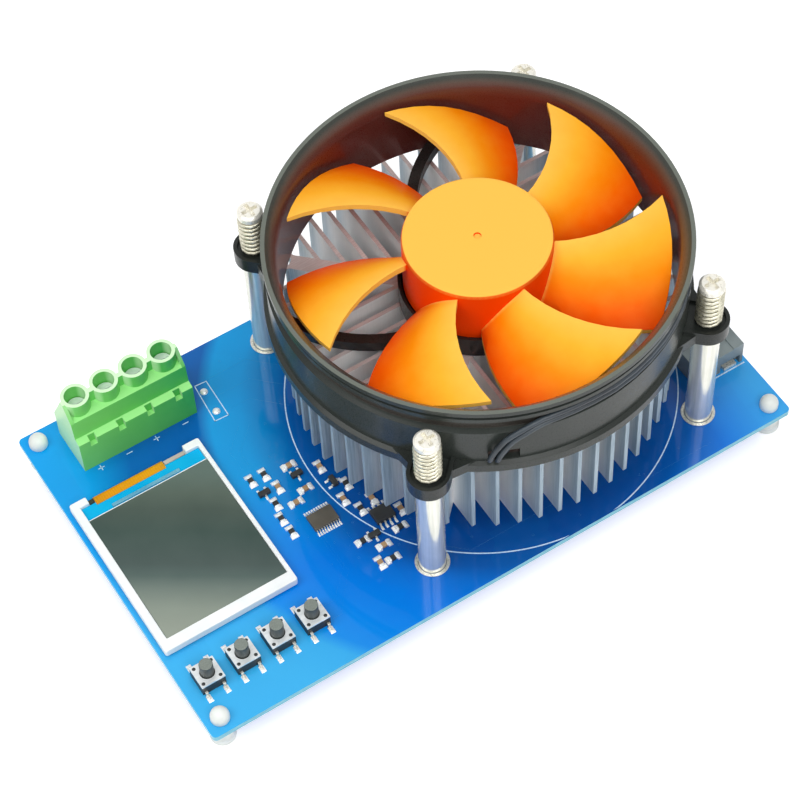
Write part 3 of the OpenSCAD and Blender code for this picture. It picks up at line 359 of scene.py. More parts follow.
def blade_plastic():
    """Orange impeller plastic with painted light and shade: pale high edges, rims and hub top, deep low
    edges and hub side.
    """
    material, tree, shader = finish_named("impeller_orange", 0.4, specular=0.05)
    where = place_on_piece(tree)
    blade_foot, blade_rise = FAN_BOTTOM + 6.0, 15.0
    # Painted light and shade by height: pale where a blade stands high, deep red where it falls.
    climb_for_painted_shade = share(tree, parts_of(tree, where)[2], BOARD_TOP + blade_foot, blade_rise)
    tone = ramp(
        tree, climb_for_painted_shade,
        (0.08, shade(255, 72, 0)), (0.32, shade(255, 104, 0)), (0.56, shade(255, 144, 4)),
        (0.76, shade(255, 180, 46)), (0.92, shade(255, 198, 86)),
    )
    flow = cloud(tree, where, 0.25, 3.0)
    tone = mixed(tree, 0.08, tone, patchy(tree, flow, shade(240, 96, 4), shade(255, 190, 80)))
    up = facing(tree, "True Normal")[2]
    # Painted highlight, pale, on the blade rims that face sideways.
    rim_painted_highlight = fade(tree, sums(tree, "ABSOLUTE", up), 0.12, 0.32, 0.9, 0.0)
    tone = mixed(tree, rim_painted_highlight, tone, shade(255, 208, 92))
    # Painted light on the hub's top and painted shade on its side.
    hub = mixed(tree, fade(tree, up, 0.3, 0.7), shade(255, 72, 0), shade(252, 190, 80))
    on_hub = fade(tree, distance(tree, where, 20.0), 0.868, 0.9, 1.0, 0.0)
    paint(tree, shader, mixed(tree, on_hub, tone, hub))
    dull(tree, shader, cloud(tree, where, 1.2, 3.0), 0.34, 0.48)
    raise_surface(tree, shader, cloud(tree, where, 5.0, 2.0), 0.1)
    return material


def ring_plastic():
    """Glossy black fan ring, with painted light on its upward rim and a painted reflection of the orange
    blades inside the throat.
    """
    material, tree, shader = finish_named("fan_black_gloss", 0.3, specular=0.2)
    where = place_on_piece(tree)
    away = distance(tree, where, 60.0)
    # The red band on the throat wall and the warm grey at its lip are a painted reflection of the orange
    # blades.
    tone = ramp(
        tree, away,
        (0.73, shade(34, 30, 29)), (0.752, shade(92, 34, 25)), (0.772, shade(92, 72, 64)),
        (0.785, shade(48, 53, 50)), (0.9, shade(38, 41, 39)),
    )
    is_top = fade(tree, facing(tree, "True Normal")[2], 0.6, 0.9)
    height = share(tree, parts_of(tree, where)[2], BOARD_TOP + FAN_BOTTOM, 25.0)
    # Painted light on the rim's upward faces.
    rim_painted_light = sums(tree, "MULTIPLY", is_top, fade(tree, height, 0.79, 0.81))
    tone = mixed(tree, rim_painted_light, tone, shade(108, 113, 105))
    slow = cloud(tree, where, 0.1, 3.0)
    paint(tree, shader, mixed(tree, 0.1, tone, patchy(tree, slow, shade(34, 34, 32), shade(90, 94, 89))))
    tree.links.new(fade(tree, away, 0.755, 0.775, 0.4, 0.1), shader.inputs["Coat Weight"])
    fine = cloud(tree, where, 5.0, 2.0)
    dull(tree, shader, fine, 0.24, 0.36)
    raise_surface(tree, shader, fine, 0.04)
    return material


def fin_metal():
    """Extruded aluminium: drawn lines up the fins, sawn on top, with painted shade at the rim and painted
    light inwards.
    """
    material, tree, shader = finish_named("heatsink_aluminium", 0.42, metallic=0.1)
    lines = cloud(tree, place_on_piece(tree, (1, 1, 0.03)), 3.0, 4.0, 0.6)
    # Painted shade with a painted blue bounce from the board on the outer fins, and painted light, near
    # white, on the inner ones.
    rim = patchy(tree, lines, shade(134, 156, 170), shade(180, 196, 208))
    bright = patchy(tree, lines, shade(246, 247, 246), shade(254, 254, 253))
    inward = fade(tree, distance(tree, place_on_piece(tree), 50.0), 0.8, 0.88, 1.0, 0.0)
    sides = mixed(tree, inward, rim, bright)
    saw_lines = cloud(tree, place_on_piece(tree, (0.1, 2, 1)), 2.0, 3.0)
    sawn = patchy(tree, saw_lines, shade(206, 190, 188), shade(230, 220, 218))
    is_top = fade(tree, facing(tree)[2], 0.4, 0.8)
    paint(tree, shader, mixed(tree, is_top, sides, sawn))
    dull(tree, shader, lines, 0.34, 0.5, 0.25, 0.75)
    raise_surface(tree, shader, lines, 0.12, 0.02)
    return material


def terminal_plastic():
    """Green polyamide, deeper to the right, with painted light on its ledges, its rims and its left end."""
    material, tree, shader = finish_named("terminal_green", 0.36, specular=0.3)
    where = place_on_piece(tree)
    x, _, z = parts_of(tree, where)
    along = share(tree, x, TERMINAL_LEFT + BOARD_LEFT, TERMINAL_LENGTH)
    side = ramp(
        tree, along,
        (0.0, shade(128, 218, 112)), (0.5, shade(102, 202, 92)), (1.0, shade(52, 172, 78)),
    )
    slow = cloud(tree, where, 0.15, 2.0)
    side = mixed(tree, 0.2, side, patchy(tree, slow, shade(66, 172, 66), shade(104, 200, 96)))
    height = share(tree, z, BOARD_TOP, 25.0)
    # Painted light on the upward faces, palest high up.
    level = ramp(tree, height, (0.7, shade(158, 236, 142)), (0.8, shade(212, 247, 202)))
    right, _, up = facing(tree)
    tone = mixed(tree, fade(tree, up, 0.4, 0.9), side, level)
    # Painted light on the left end.
    left_painted_light = fade(tree, sums(tree, "MULTIPLY", right, -1.0), 0.5, 0.9)
    paint(tree, shader, mixed(tree, left_painted_light, tone, shade(194, 242, 184)))
    fine = cloud(tree, where, 3.0, 2.0)
    dull(tree, shader, fine, 0.3, 0.44)
    raise_surface(tree, shader, fine, 0.2, 0.012)
    return material


def button_plastic():
    """Black button stems, grey on their tops."""
    material, tree, shader = finish_named("button_black", 0.45)
    fine = cloud(tree, place_on_piece(tree), 4.0, 2.0)
    side = patchy(tree, fine, shade(44, 50, 48), shade(60, 66, 63))
    paler_part = patchy(tree, fine, shade(112, 120, 114), shade(130, 138, 131))
    is_top = fade(tree, facing(tree, "True Normal")[2], 0.5, 0.9)
    paint(tree, shader, mixed(tree, is_top, side, paler_part))
    dull(tree, shader, fine, 0.38, 0.52)
    raise_surface(tree, shader, fine, 0.2)
    return material


def panel_glass():
    """Dark display panel under a polariser, with a painted reflection that grows grey towards its front."""
    material, tree, shader = finish_named("panel_dark_glass", 0.2, specular=0.06)
    where = place_on_piece(tree)
    x, y = parts_of(tree, where)[:2]
    # Painted reflection: a grey sweep along a slanted line across the panel.
    reflection_slant = 0.667
    run = sums(tree, "MULTIPLY", sums(tree, "SUBTRACT", x, BOARD_LEFT), reflection_slant)
    rise = sums(tree, "SUBTRACT", y, BOARD_FRONT)
    tone = ramp(
        tree, share(tree, sums(tree, "ADD", rise, run), 30.0, 54.0),
        (0.02, shade(150, 158, 146)), (0.15, shade(139, 149, 138)), (0.27, shade(113, 126, 119)),
        (0.34, shade(87, 103, 99)), (0.41, shade(77, 91, 88)), (0.6, shade(67, 84, 79)),
        (0.74, shade(76, 89, 82)), (0.84, shade(90, 103, 94)), (0.97, shade(98, 115, 108)),
    )
    slow = cloud(tree, where, 0.12, 2.0)
    paint(tree, shader, mixed(tree, 0.08, tone, patchy(tree, slow, shade(60, 72, 68), shade(110, 120, 112))))
    dull(tree, shader, cloud(tree, where, 0.4, 3.0), 0.16, 0.26, 0.35, 0.75)
    return material


def printed_white():
    """White legend ink, slightly broken where the mask shows through."""
    material, tree, shader = finish_named("legend_ink", 0.6)
    paler_part = cloud(tree, place_on_piece(tree), 2.5, 3.0)
    paint(tree, shader, ramp(tree, paler_part, (0.3, shade(150, 200, 240)), (0.6, shade(214, 234, 250))))
    raise_surface(tree, shader, paler_part, 0.2)
    return material


def film_amber():
    """Polyimide flex: amber film over rows of copper tracks, darker at its left end."""
    material, tree, shader = finish_named("flex_amber", 0.3, coat=0.05, specular=0.2)
    where = place_on_piece(tree)
    x = parts_of(tree, where)[0]
    rows = sums(tree, "PINGPONG", x, 0.3)
    tracks = ramp(tree, rows, (0.1, shade(204, 136, 8)), (0.2, shade(226, 160, 18)))
    wash = ramp(
        tree, share(tree, x, FLEX_LEFT + BOARD_LEFT, FLEX_RIGHT - FLEX_LEFT),
        (0.0, shade(198, 134, 16)), (0.2, shade(222, 146, 8)),
        (0.85, shade(226, 158, 12)), (1.0, shade(208, 150, 40)),
    )
    paint(tree, shader, mixed(tree, 0.75, tracks, wash))
    dull(tree, shader, cloud(tree, where, 0.8), 0.22, 0.4)
    raise_surface(tree, shader, rows, 0.1)
    return material


def wound_copper():
    """Enamelled wire in level turns."""
    material, tree, shader = finish_named("winding_copper", 0.3, metallic=1.0)
    turns = sums(tree, "PINGPONG", parts_of(tree, place_on_piece(tree))[2], 0.2)
    paint(tree, shader, ramp(tree, turns, (0.1, shade(120, 58, 24)), (0.18, shade(206, 120, 66))))
    raise_surface(tree, shader, turns, 0.6, 0.1)
    return material


def stacked_iron():
    """Punched iron sheets, one on another."""
    material, tree, shader = finish_named("stator_sheets", 0.45, metallic=1.0)
    sheets = sums(tree, "PINGPONG", parts_of(tree, place_on_piece(tree))[2], 0.25)
    paint(tree, shader, ramp(tree, sheets, (0.05, shade(70, 72, 76)), (0.2, shade(132, 134, 140))))
    raise_surface(tree, shader, sheets, 0.5, 0.08)
    return material


FINISH = {
    "board": board_coating(),
    "legend": printed_white(),
    "nylon": moulded("support_nylon", shade(216, 221, 217), shade(236, 240, 236), 0.42, grain=3.0),
    "post": plated(
        "post_nickel", shade(216, 217, 206), shade(251, 249, 238), 0.14,
        streak=(1, 1, 0.03), scale=1.0, depth=0.002, metallic=0.6,
    ),
    "screw": plated(
        "screw_nickel", shade(238, 234, 220), shade(254, 252, 244), 0.3,
        scale=1.0, depth=0.004, metallic=0.4,
    ),
    "terminal_screw": plated(
        "screw_zinc", shade(228, 234, 236), shade(252, 253, 253), 0.34,
        scale=0.6, depth=0.001, metallic=0.25,
    ),
    "spring": plated(
        "spring_wire", shade(184, 180, 158), shade(244, 240, 220), 0.3,
        scale=1.0, depth=0.003, metallic=0.75,
    ),
    "fins": fin_metal(),
    "pad": moulded("pad_grey_rubber", shade(150, 150, 154), shade(176, 176, 180), 0.7, grain=2.0),
    "chip": moulded("chip_epoxy", shade(30, 31, 32), shade(58, 60, 60), 0.5, grain=8.0),
    "controller": moulded("controller_epoxy", shade(70, 66, 58), shade(104, 100, 90), 0.5, grain=8.0),
    "tin": plated("tinned_leads", shade(190, 190, 180), shade(240, 239, 230), 0.3, scale=3.0, metallic=0.6),
    "ring": ring_plastic(),
    "blades": blade_plastic(),
    "bronze": plated("bearing_bronze", shade(118, 84, 46), shade(190, 148, 92), 0.42, scale=4.0),
    "iron": stacked_iron(),
    "copper": wound_copper(),
    "motor_board": moulded("motor_board_green", shade(18, 84, 44), shade(36, 116, 66), 0.35, grain=2.0),
    "ferrite": moulded("magnet_ferrite", shade(46, 43, 44), shade(66, 62, 62), 0.6),
    "shaft": plated("shaft_steel", shade(170, 172, 176), shade(232, 234, 238), 0.12, streak=(1, 1, 0.06)),
    "sheath": moulded("lead_sheath", shade(34, 40, 46), shade(62, 72, 80), grain=2.0),
    "connector": moulded("connector_white", shade(226, 224, 212), shade(244, 242, 234), 0.42, grain=3.0),
    "frame_white": moulded("display_white", shade(234, 240, 241), shade(250, 252, 252), 0.35, grain=3.0),
    "foam": moulded("tape_foam", shade(220, 222, 222), shade(240, 240, 240), 0.85, grain=1.5, depth=0.05),
    "glass": panel_glass(),
    "ledge": moulded(
        "ledge_blue_glass", shade(0, 164, 220), shade(16, 180, 229), 0.2,
        grain=0.4, depth=0.002, specular=0.1,
    ),
    "driver": moulded("driver_bare_silicon", shade(70, 150, 186), shade(120, 178, 196), 0.3, grain=2.0),
    "tail": moulded("flex_side_strip_grey", shade(160, 148, 136), shade(196, 188, 180), 0.5, grain=2.0),
    # Near black for the strip of painted shade beside the display's flex.
    "tape": moulded("gap_painted_shade", shade(26, 36, 26), shade(46, 56, 44), 0.5, grain=3.0),
    "flex": film_amber(),
    "button": button_plastic(),
    "switch_base": moulded("switch_base_black", shade(34, 36, 36), shade(54, 56, 56), 0.5, grain=4.0),
    "cover": plated(
        "switch_cover_steel", shade(222, 228, 229), shade(246, 250, 251), 0.36,
        streak=(0.2, 1, 1), scale=1.0, depth=0.003, metallic=0.5,
    ),
    "green": terminal_plastic(),
    "jack": moulded("jack_grey", shade(98, 108, 110), shade(136, 147, 148), 0.42, grain=4.0),
    "ceramic": moulded("capacitor_ceramic", shade(150, 118, 84), shade(186, 154, 116), 0.45, grain=4.0),
    "solder": plated(
        "solder_bright", shade(236, 240, 240), shade(253, 254, 254), 0.28,
        scale=1.0, depth=0.004, metallic=0.3,
    ),
}

# Each CAD node's finish, slot in the record, edge rounding in mm and smoothing angle in degrees
NODE_LOOKS = {
    "main_board": ("board", "board_laminate", 0.0, 30),
    "board_supports": ("nylon", "white_nylon", 0.25, 50),
    "cooler_posts": ("post", "nickel_plate", 0.0, 40),
    "post_screws": ("screw", "nickel_plate", 0.15, 40),
    "spring_screws": ("screw", "nickel_plate", 0.2, 40),
    "cooler_springs": ("spring", "spring_steel", 0.0, 85),
    "heatsink": ("fins", "bare_aluminium", 0.0, 30),
    "thermal_pad": ("pad", "thermal_rubber", 0.05, 30),
    "power_transistors": ("chip", "chip_plastic", 0.2, 30),
    "transistor_tabs": ("tin", "tinned_metal", 0.08, 30),
    "fan_frame": ("ring", "fan_black_plastic", 0.25, 35),
    "fan_bearing": ("bronze", "sintered_bronze", 0.0, 30),
    "stator_core": ("iron", "motor_iron", 0.0, 30),
    "stator_windings": ("copper", "copper_wire", 0.4, 30),
    "motor_board": ("motor_board", "motor_laminate", 0.0, 30),
    "fan_impeller": ("blades", "fan_orange_plastic", 0.3, 48),
    "rotor_yoke": ("iron", "motor_iron", 0.0, 30),
    "rotor_magnet": ("ferrite", "ferrite", 0.0, 30),
    "rotor_shaft": ("shaft", "polished_steel", 0.15, 30),
    "shaft_clip": ("shaft", "polished_steel", 0.0, 30),
    "fan_lead": ("sheath", "wire_sheath", 0.0, 60),
    "fan_plug": ("connector", "connector_plastic", 0.2, 30),
    "fan_header": ("connector", "connector_plastic", 0.15, 30),
    "header_pins": ("tin", "tinned_metal", 0.08, 30),
    "display_tape": ("foam", "foam_tape", 0.0, 30),
    "display_frame": ("frame_white", "display_white", 0.2, 30),
    "display_backlight": ("frame_white", "display_white", 0.0, 30),
    "display_lower_glass": ("ledge", "display_blue_glass", 0.04, 30),
    "display_upper_glass": ("glass", "display_glass", 0.06, 30),
    "display_driver_chip": ("driver", "chip_plastic", 0.03, 30),
    "display_flex": ("flex", "flex_film", 0.0, 40),
    "switch_bases": ("switch_base", "switch_black", 0.15, 30),
    "switch_covers": ("cover", "tinned_metal", 0.1, 30),
    "switch_leads": ("tin", "tinned_metal", 0.06, 30),
    "switch_domes": ("spring", "spring_steel", 0.0, 40),
    "terminal_housing": ("green", "terminal_green", 0.2, 30),
    "terminal_contacts": ("tin", "tinned_metal", 0.1, 30),
    "power_jack_housing": ("jack", "jack_black", 0.3, 30),
    "power_jack_pin": ("post", "nickel_plate", 0.0, 30),
    "power_jack_contacts": ("tin", "tinned_metal", 0.06, 30),
    "controller_chip": ("controller", "chip_plastic", 0.12, 30),
    "small_chips": ("chip", "chip_plastic", 0.1, 30),
    "chip_leads": ("tin", "tinned_metal", 0.0, 30),
    "chip_capacitors": ("ceramic", "ceramic_tan", 0.06, 30),
    "chip_resistors": ("chip", "chip_plastic", 0.05, 30),
    "chip_end_caps": ("solder", "tinned_metal", 0.08, 30),
}
for number in range(1, 5):
    NODE_LOOKS[f"button_{number}"] = ("button", "switch_black", 0.2, 30)
    NODE_LOOKS[f"terminal_screw_{number}"] = ("terminal_screw", "nickel_plate", 0.15, 30)
    NODE_LOOKS[f"wire_clamp_{number}"] = ("tin", "tinned_metal", 0.12, 30)

BODY_OF = {n: b for b, members in frame["record"]["behaviour"]["bodies"].items() for n in members}


# Modelling steps


def clear_selection():
    bpy.ops.object.select_all(action="DESELECT")


def hold(piece):
    clear_selection()
    piece.select_set(True)
    bpy.context.view_layer.objects.active = piece


def take_all():
    """Edit mode on the piece that is held, with everything in it selected."""
    bpy.ops.object.mode_set(mode="EDIT")
    bpy.ops.mesh.select_all(action="SELECT")


def let_go():
    bpy.ops.object.mode_set(mode="OBJECT")


def draw_up(height, slide=0.0):
    """Extrudes what is selected by millimetres upwards and along."""
    bpy.ops.mesh.extrude_region_move(TRANSFORM_OT_translate={"value": (slide * MM, 0, height * MM)})


def smooth(angle):
    bpy.ops.object.shade_smooth_by_angle(angle=math.radians(angle))


def apply_modifier(piece, kind, **settings):
    step = piece.modifiers.new(kind, kind)
    for setting, value in settings.items():
        setattr(step, setting, value)
    hold(piece)
    bpy.ops.object.modifier_apply(modifier=step.name)


def round_edges(piece, width, segments=2, angle=30):
    """Rounds a piece's edges that turn by more than an angle."""
    limit = math.radians(angle)
    apply_modifier(
        piece, "BEVEL", width=width * MM, segments=segments, limit_method="ANGLE", angle_limit=limit,
    )


def settle(piece, finish, body):
    """Applies the piece's place to its mesh, gives it its finish and lets it ride on its body."""
    hold(piece)
    bpy.ops.object.transform_apply(location=True, rotation=True, scale=True)
    piece.data.materials.clear()
    piece.data.materials.append(FINISH[finish])
    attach(piece, body)
    return piece


def dressed_node(node):
    """A copy of a CAD node with its triangles merged, its edges rounded and its curves smooth."""
    finish, slot, rounding, angle = NODE_LOOKS[node]
    piece = bpy.data.objects.new(node + "_dressed", nodes[node].data.copy())
    bpy.context.scene.collection.objects.link(piece)
    hold(piece)
    take_all()
    bpy.ops.mesh.remove_doubles(threshold=0.000002)
    bpy.ops.mesh.dissolve_limited(angle_limit=math.radians(0.5))
    let_go()
    if rounding:
        round_edges(piece, rounding, angle=40)
    smooth(angle)
    apply_modifier(piece, "WEIGHTED_NORMAL", keep_sharp=True)
    settle(piece, finish, BODY_OF[node])
    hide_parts(node)


def joined(name, pieces):
    clear_selection()
    for piece in pieces:
        piece.select_set(True)
    bpy.context.view_layer.objects.active = pieces[0]
    bpy.ops.object.join()
    pieces[0].name = name
    return pieces[0]


def set_out(name, pattern, places, finish):
    """Copies one modelled piece to its places (x, y, z, turn in degrees) and keeps them as one object."""
    copies = []
    for x, y, z, turn in places:
        copy = bpy.data.objects.new(name, pattern.data.copy())
        bpy.context.scene.collection.objects.link(copy)
        copy.location = spot(x, y, z)
        copy.rotation_euler = (0, 0, math.radians(turn))
        copies.append(copy)
    bpy.data.objects.remove(pattern)
    settle(joined(name, copies), finish, BODY)


def set_out_solder(name, pattern, places):
    set_out(name, pattern, places, "solder")


def flat_plate(length, width, place=(0, 0, 0), turn=0.0):
    clear_selection()
    bpy.ops.mesh.primitive_plane_add(size=1.0, location=place, rotation=(0, 0, turn))
    plate = bpy.context.object
    plate.scale = (length * MM, width * MM, 1.0)
    bpy.ops.object.transform_apply(location=False, rotation=False, scale=True)
    return plate


def flat_stroke(start, end, width, lift=0.03):
    """A thin raised bar between two places on the board, drawn up from a plate."""
    (x0, y0), (x1, y1) = start, end
    length = math.hypot(x1 - x0, y1 - y0) + width
    place = spot((x0 + x1) / 2, (y0 + y1) / 2, INK_GAP)
    stroke = flat_plate(length, width, place, math.atan2(y1 - y0, x1 - x0))
    take_all()
    draw_up(lift)
    let_go()
    return stroke


def flat_ring(inner, outer, steps, lift=0.03, place=(0, 0, 0)):
    """A thin raised ring, grown outwards from a circle of edges."""
    clear_selection()
    bpy.ops.mesh.primitive_circle_add(vertices=steps, radius=inner * MM, location=place)
    ring = bpy.context.object
    take_all()
    bpy.ops.mesh.extrude_edges_move()
    bpy.ops.transform.resize(value=(outer / inner, outer / inner, 1.0))
    bpy.ops.mesh.select_all(action="SELECT")
    draw_up(lift)
    bpy.ops.mesh.select_all(action="SELECT")
    bpy.ops.mesh.normals_make_consistent(inside=False)
    let_go()
    return ring


def outline(points, width):
    return [flat_stroke(a, b, width) for a, b in zip(points, points[1:] + points[:1])]


def solder_mound(radius, height):
    """A rounded mound grown from a disc in four shrinking lifts."""
    clear_selection()
    bpy.ops.mesh.primitive_circle_add(vertices=24, radius=radius * MM, fill_type="NGON")
    mound = bpy.context.object
    take_all()
    for rise, width in ((0.3, 0.94), (0.32, 0.82), (0.24, 0.66), (0.14, 0.5)):
        draw_up(rise * height)
        bpy.ops.transform.resize(value=(width, width, 1.0))
    let_go()
    smooth(60)
    return mound


def solder_wedge(length, width, height, lean):
    """A fillet of solder: a plate drawn up and back against the part's end, with its edges rounded."""
    wedge = flat_plate(length, width)
    take_all()
    draw_up(0.2 * height)
    draw_up(0.8 * height, -lean * length)
    bpy.ops.transform.resize(value=(1 - 2 * lean, 0.86, 1.0))
    let_go()
    round_edges(wedge, 0.08 * height)
    smooth(50)
    return wedge


def raised_strip(x0, x1, y0, y1, z0, z1):
    """A thin strip: a plate drawn up to its thickness, with a raised middle and rounded edges."""
    tape = flat_plate(x1 - x0, y1 - y0, spot((x0 + x1) / 2, (y0 + y1) / 2, z0))
    take_all()
    draw_up(z1 - z0)
    bpy.ops.mesh.inset(thickness=0.08 * MM, depth=0.03 * MM)
    let_go()
    round_edges(tape, 0.05)
    return tape


def beside(x, y, turn, along, across=0.0):
    """A place beside a part that stands at x, y and is turned by an angle."""
    a = math.radians(turn)
    return x + along * math.cos(a) - across * math.sin(a), y + along * math.sin(a) + across * math.cos(a)


def leg_rows(chip, count, pitch, reach):
    """The feet of two rows of legs, in front of a chip and behind it."""
    x, y = chip
    half = (count - 1) / 2
    return [
        (x + (k - half) * pitch, y + side * reach, SOLDER_GAP, 90 * side)
        for side in (-1, 1) for k in range(count)
    ]


# Ink, pads and solder, and the strips by the display's flex, one of them painted shade


def cooler_print():
    """The circle round the cooler, cut off just inside the board's front edge."""
    ring = flat_ring(PRINT_INNER, PRINT_OUTER, steps=192, place=spot(*PRINTED_CIRCLE, INK_GAP))
    take_all()
    bpy.ops.mesh.bisect(plane_co=spot(0, 0.2), plane_no=(0, -1, 0), use_fill=True, clear_outer=True)
    let_go()
    settle(ring, "legend", BODY).name = "cooler_circle_print"


def small_print():
    """The box round the jumper holes, plus and minus marks by the terminal and a line by the jack."""
    strokes = outline([(43.2, 84.7), (46.3, 84.5), (45.9, 73.0), (42.3, 73.2)], 0.25)
    mark_row, mark_reach, mark_width = 76.6, 0.7, 0.22
    for x in (13.2, 20.8, 28.2, 36.1):
        strokes.append(flat_stroke((x - mark_reach, mark_row), (x + mark_reach, mark_row), mark_width))
    for x in (13.2, 28.2):
        strokes.append(flat_stroke((x, mark_row - mark_reach), (x, mark_row + mark_reach), mark_width))
    strokes.append(flat_stroke((149.0, 17.3), (157.4, 17.3), 0.35))
    settle(joined("legend_strokes", strokes), "legend", BODY)


def chip_solder():
    """Solder on the ends of the chip parts and under the legs of the chips."""
    end_reach = 1.42
    ends = []
    for x, y, turn in CHIP_PLACES:
        for way in (turn, turn + 180):
            ends.append((*beside(x, y, way, end_reach), SOLDER_GAP, way))
    set_out_solder("chip_solder", solder_wedge(length=1.1, width=2.0, height=0.62, lean=0.26), ends)
    feet = []
    for x, y, turn in SMALL_TRANSISTORS:
        for along, across in ((0.95, 1.35), (-0.95, 1.35), (0.0, -1.35)):
            way = turn + math.copysign(90, across)
            feet.append((*beside(x, y, turn, along, across), SOLDER_GAP, way))
    feet += leg_rows(EIGHT_LEAD_CHIP, count=4, pitch=1.27, reach=3.15)
    set_out_solder("leg_solder", solder_wedge(length=0.9, width=0.62, height=0.13, lean=0.2), feet)
    feet = leg_rows(CONTROLLER, count=10, pitch=0.65, reach=3.3)
    set_out_solder("controller_solder", solder_wedge(length=0.8, width=0.46, height=0.12, lean=0.2), feet)


def switch_solder():
    """Solder round the four leads of each switch."""
    spread, reach = 2.25, 4.55
    feet = [
        (x + across * spread, y + side * reach, SOLDER_GAP, 90 * side)
        for x, y in BUTTONS for side in (-1, 1) for across in (-1, 1)
    ]
    set_out_solder("switch_solder", solder_wedge(length=1.9, width=1.25, height=0.22, lean=0.12), feet)


def cover_rivets():
    """Black rivet heads in the corners of each switch cover."""
    reach, sunk = 2.2, 0.02
    places = [
        (x + i * reach, y + j * reach, SWITCH_TOP - sunk, 0)
        for x, y in BUTTONS for i in (-1, 1) for j in (-1, 1)
    ]
    set_out("cover_rivets", solder_mound(radius=0.42, height=0.16), places, "switch_base")


def post_pads():
    """Tinned rings on the board round the feet of the cooler's posts."""
    pad = flat_ring(inner=3.3, outer=4.1, steps=48, lift=0.3)
    round_edges(pad, 0.12, segments=3)
    smooth(50)
    set_out("post_pads", pad, [(x, y, SOLDER_GAP, 0) for x, y in POSTS], "tin")


def plated_holes():
    """Solder standing on the two plated holes beside the terminal."""
    places = [(x, y, SOLDER_GAP, 0) for x, y in JUMPER_HOLES]
    set_out_solder("jumper_solder", solder_mound(radius=1.0, height=0.55), places)


def small_vias():
    """Covered plated holes near the small parts, each a low rounded ring."""
    via = flat_ring(inner=0.16, outer=0.34, steps=16, lift=0.04)
    take_all()
    bpy.ops.mesh.flip_normals()
    let_go()
    smooth(40)
    places = [
        (48.0, 57.5), (54.0, 55.0), (47.2, 46.4), (53.4, 42.2), (44.6, 38.4), (44.4, 33.2),
        (55.0, 31.0), (52.6, 29.0), (60.4, 36.8), (65.0, 31.4), (66.8, 24.6), (60.8, 20.0),
        (51.2, 22.0), (48.6, 28.6), (45.0, 24.0), (62.5, 44.0), (70.0, 18.0), (76.0, 12.5),
        (52.0, 66.0), (58.0, 70.0), (60.0, 80.0), (52.0, 88.0), (68.0, 90.5), (140.0, 8.0),
        (146.0, 12.0), (130.0, 6.0), (118.0, 5.0), (100.0, 3.6), (88.0, 5.0),
    ]
    set_out("small_vias", via, [(x, y, VIA_GAP, 0) for x, y in places], "board")


def copper_tracks():
    """Wide and narrow tracks that stand a little proud under the mask, each run with its width."""
    runs = [
        (2.4, [(47.5, 86.0), (58.0, 86.0), (66.0, 78.0)]),
        (2.4, [(47.5, 80.5), (56.0, 80.5), (62.0, 74.5)]),
        (2.4, [(47.5, 75.5), (53.0, 75.5), (59.5, 69.0)]),
        (0.5, [(41.0, 58.0), (41.0, 64.0), (46.0, 69.0)]),
        (0.5, [(43.0, 57.0), (43.0, 62.5), (48.5, 68.0)]),
        (0.4, [(52.5, 31.8), (52.5, 27.5), (50.0, 25.0)]),
        (0.4, [(46.8, 31.8), (46.8, 22.0), (40.5, 15.7), (38.0, 15.7)]),
        (0.4, [(47.5, 31.8), (47.5, 21.0), (40.0, 11.7), (37.5, 11.7)]),
        (1.2, [(64.0, 20.0), (74.0, 10.0), (96.0, 10.0)]),
        (2.0, [(120.0, 4.0), (136.0, 4.0), (146.0, 14.0), (146.0, 18.0)]),
    ]
    strokes = []
    for width, points in runs:
        for step, (a, b) in enumerate(zip(points, points[1:])):
            strokes.append(flat_stroke(a, b, width, 0.02 + 0.006 * step))
    settle(joined("copper_tracks", strokes), "board", BODY)


def underside_solder():
    """Cones of solder on the pins that come through the board."""
    pole_pitch, pole_row = TERMINAL_LENGTH / POLES, 80.2
    pins = [(TERMINAL_LEFT + (i + 0.5) * pole_pitch, pole_row) for i in range(POLES)]
    pins += [(145.5, jack_leg) for jack_leg in (20.0, 26.0)]
    (header_x, header_y), header_pitch = middle("header_pins"), 2.5
    pins += [(header_x, header_y + side * header_pitch / 2) for side in (-1, 1)]
    reach, leg_pitch, leg_row = 5.9, 2.54, COOLER[1] - 10.4
    pins += [(COOLER[0] + side * reach + i * leg_pitch, leg_row) for side in (-1, 1) for i in (-1, 0, 1)]
    cone = solder_mound(radius=1.05, height=1.1)
    hold(cone)
    cone.rotation_euler = (math.pi, 0, 0)
    bpy.ops.object.transform_apply(location=False, rotation=True, scale=False)
    underside = BOARD_BOTTOM - BOARD_TOP - SOLDER_GAP
    set_out_solder("underside_solder", cone, [(x, y, underside, 0) for x, y in pins])


def display_back_strips():
    """A dark strip of painted shade and a grey-brown strip beside the flex at the display's back edge, and
    the edge of its polariser.
    """
    front, back, bottom = DISPLAY_BACK - 1.95, DISPLAY_BACK - 0.85, 1.32
    # Painted shade: a near black strip laid in the gap between the frame's ear and the flex.
    dark = raised_strip(FLEX_LEFT - 1.4, FLEX_LEFT - 0.1, front, back, bottom, 1.95)
    settle(dark, "tape", BODY).name = "display_gap_painted_shade"
    # A grey-brown strip on the rail to the right of the flex.
    tail = raised_strip(FLEX_RIGHT + 0.2, FLEX_RIGHT + 5.7, front, back, bottom, 1.8)
    settle(tail, "tail", BODY).name = "flex_side_strip"
    (left, _, _), (right, glass_back, glass_top) = corners("display_upper_glass")
    edge = flat_stroke((left + 0.1, glass_back), (right - 0.1, glass_back), 0.18, 0.06)
    edge.location.z = spot(0, 0, glass_top).z
    settle(edge, "frame_white", BODY).name = "polariser_edge"


# Light and floor


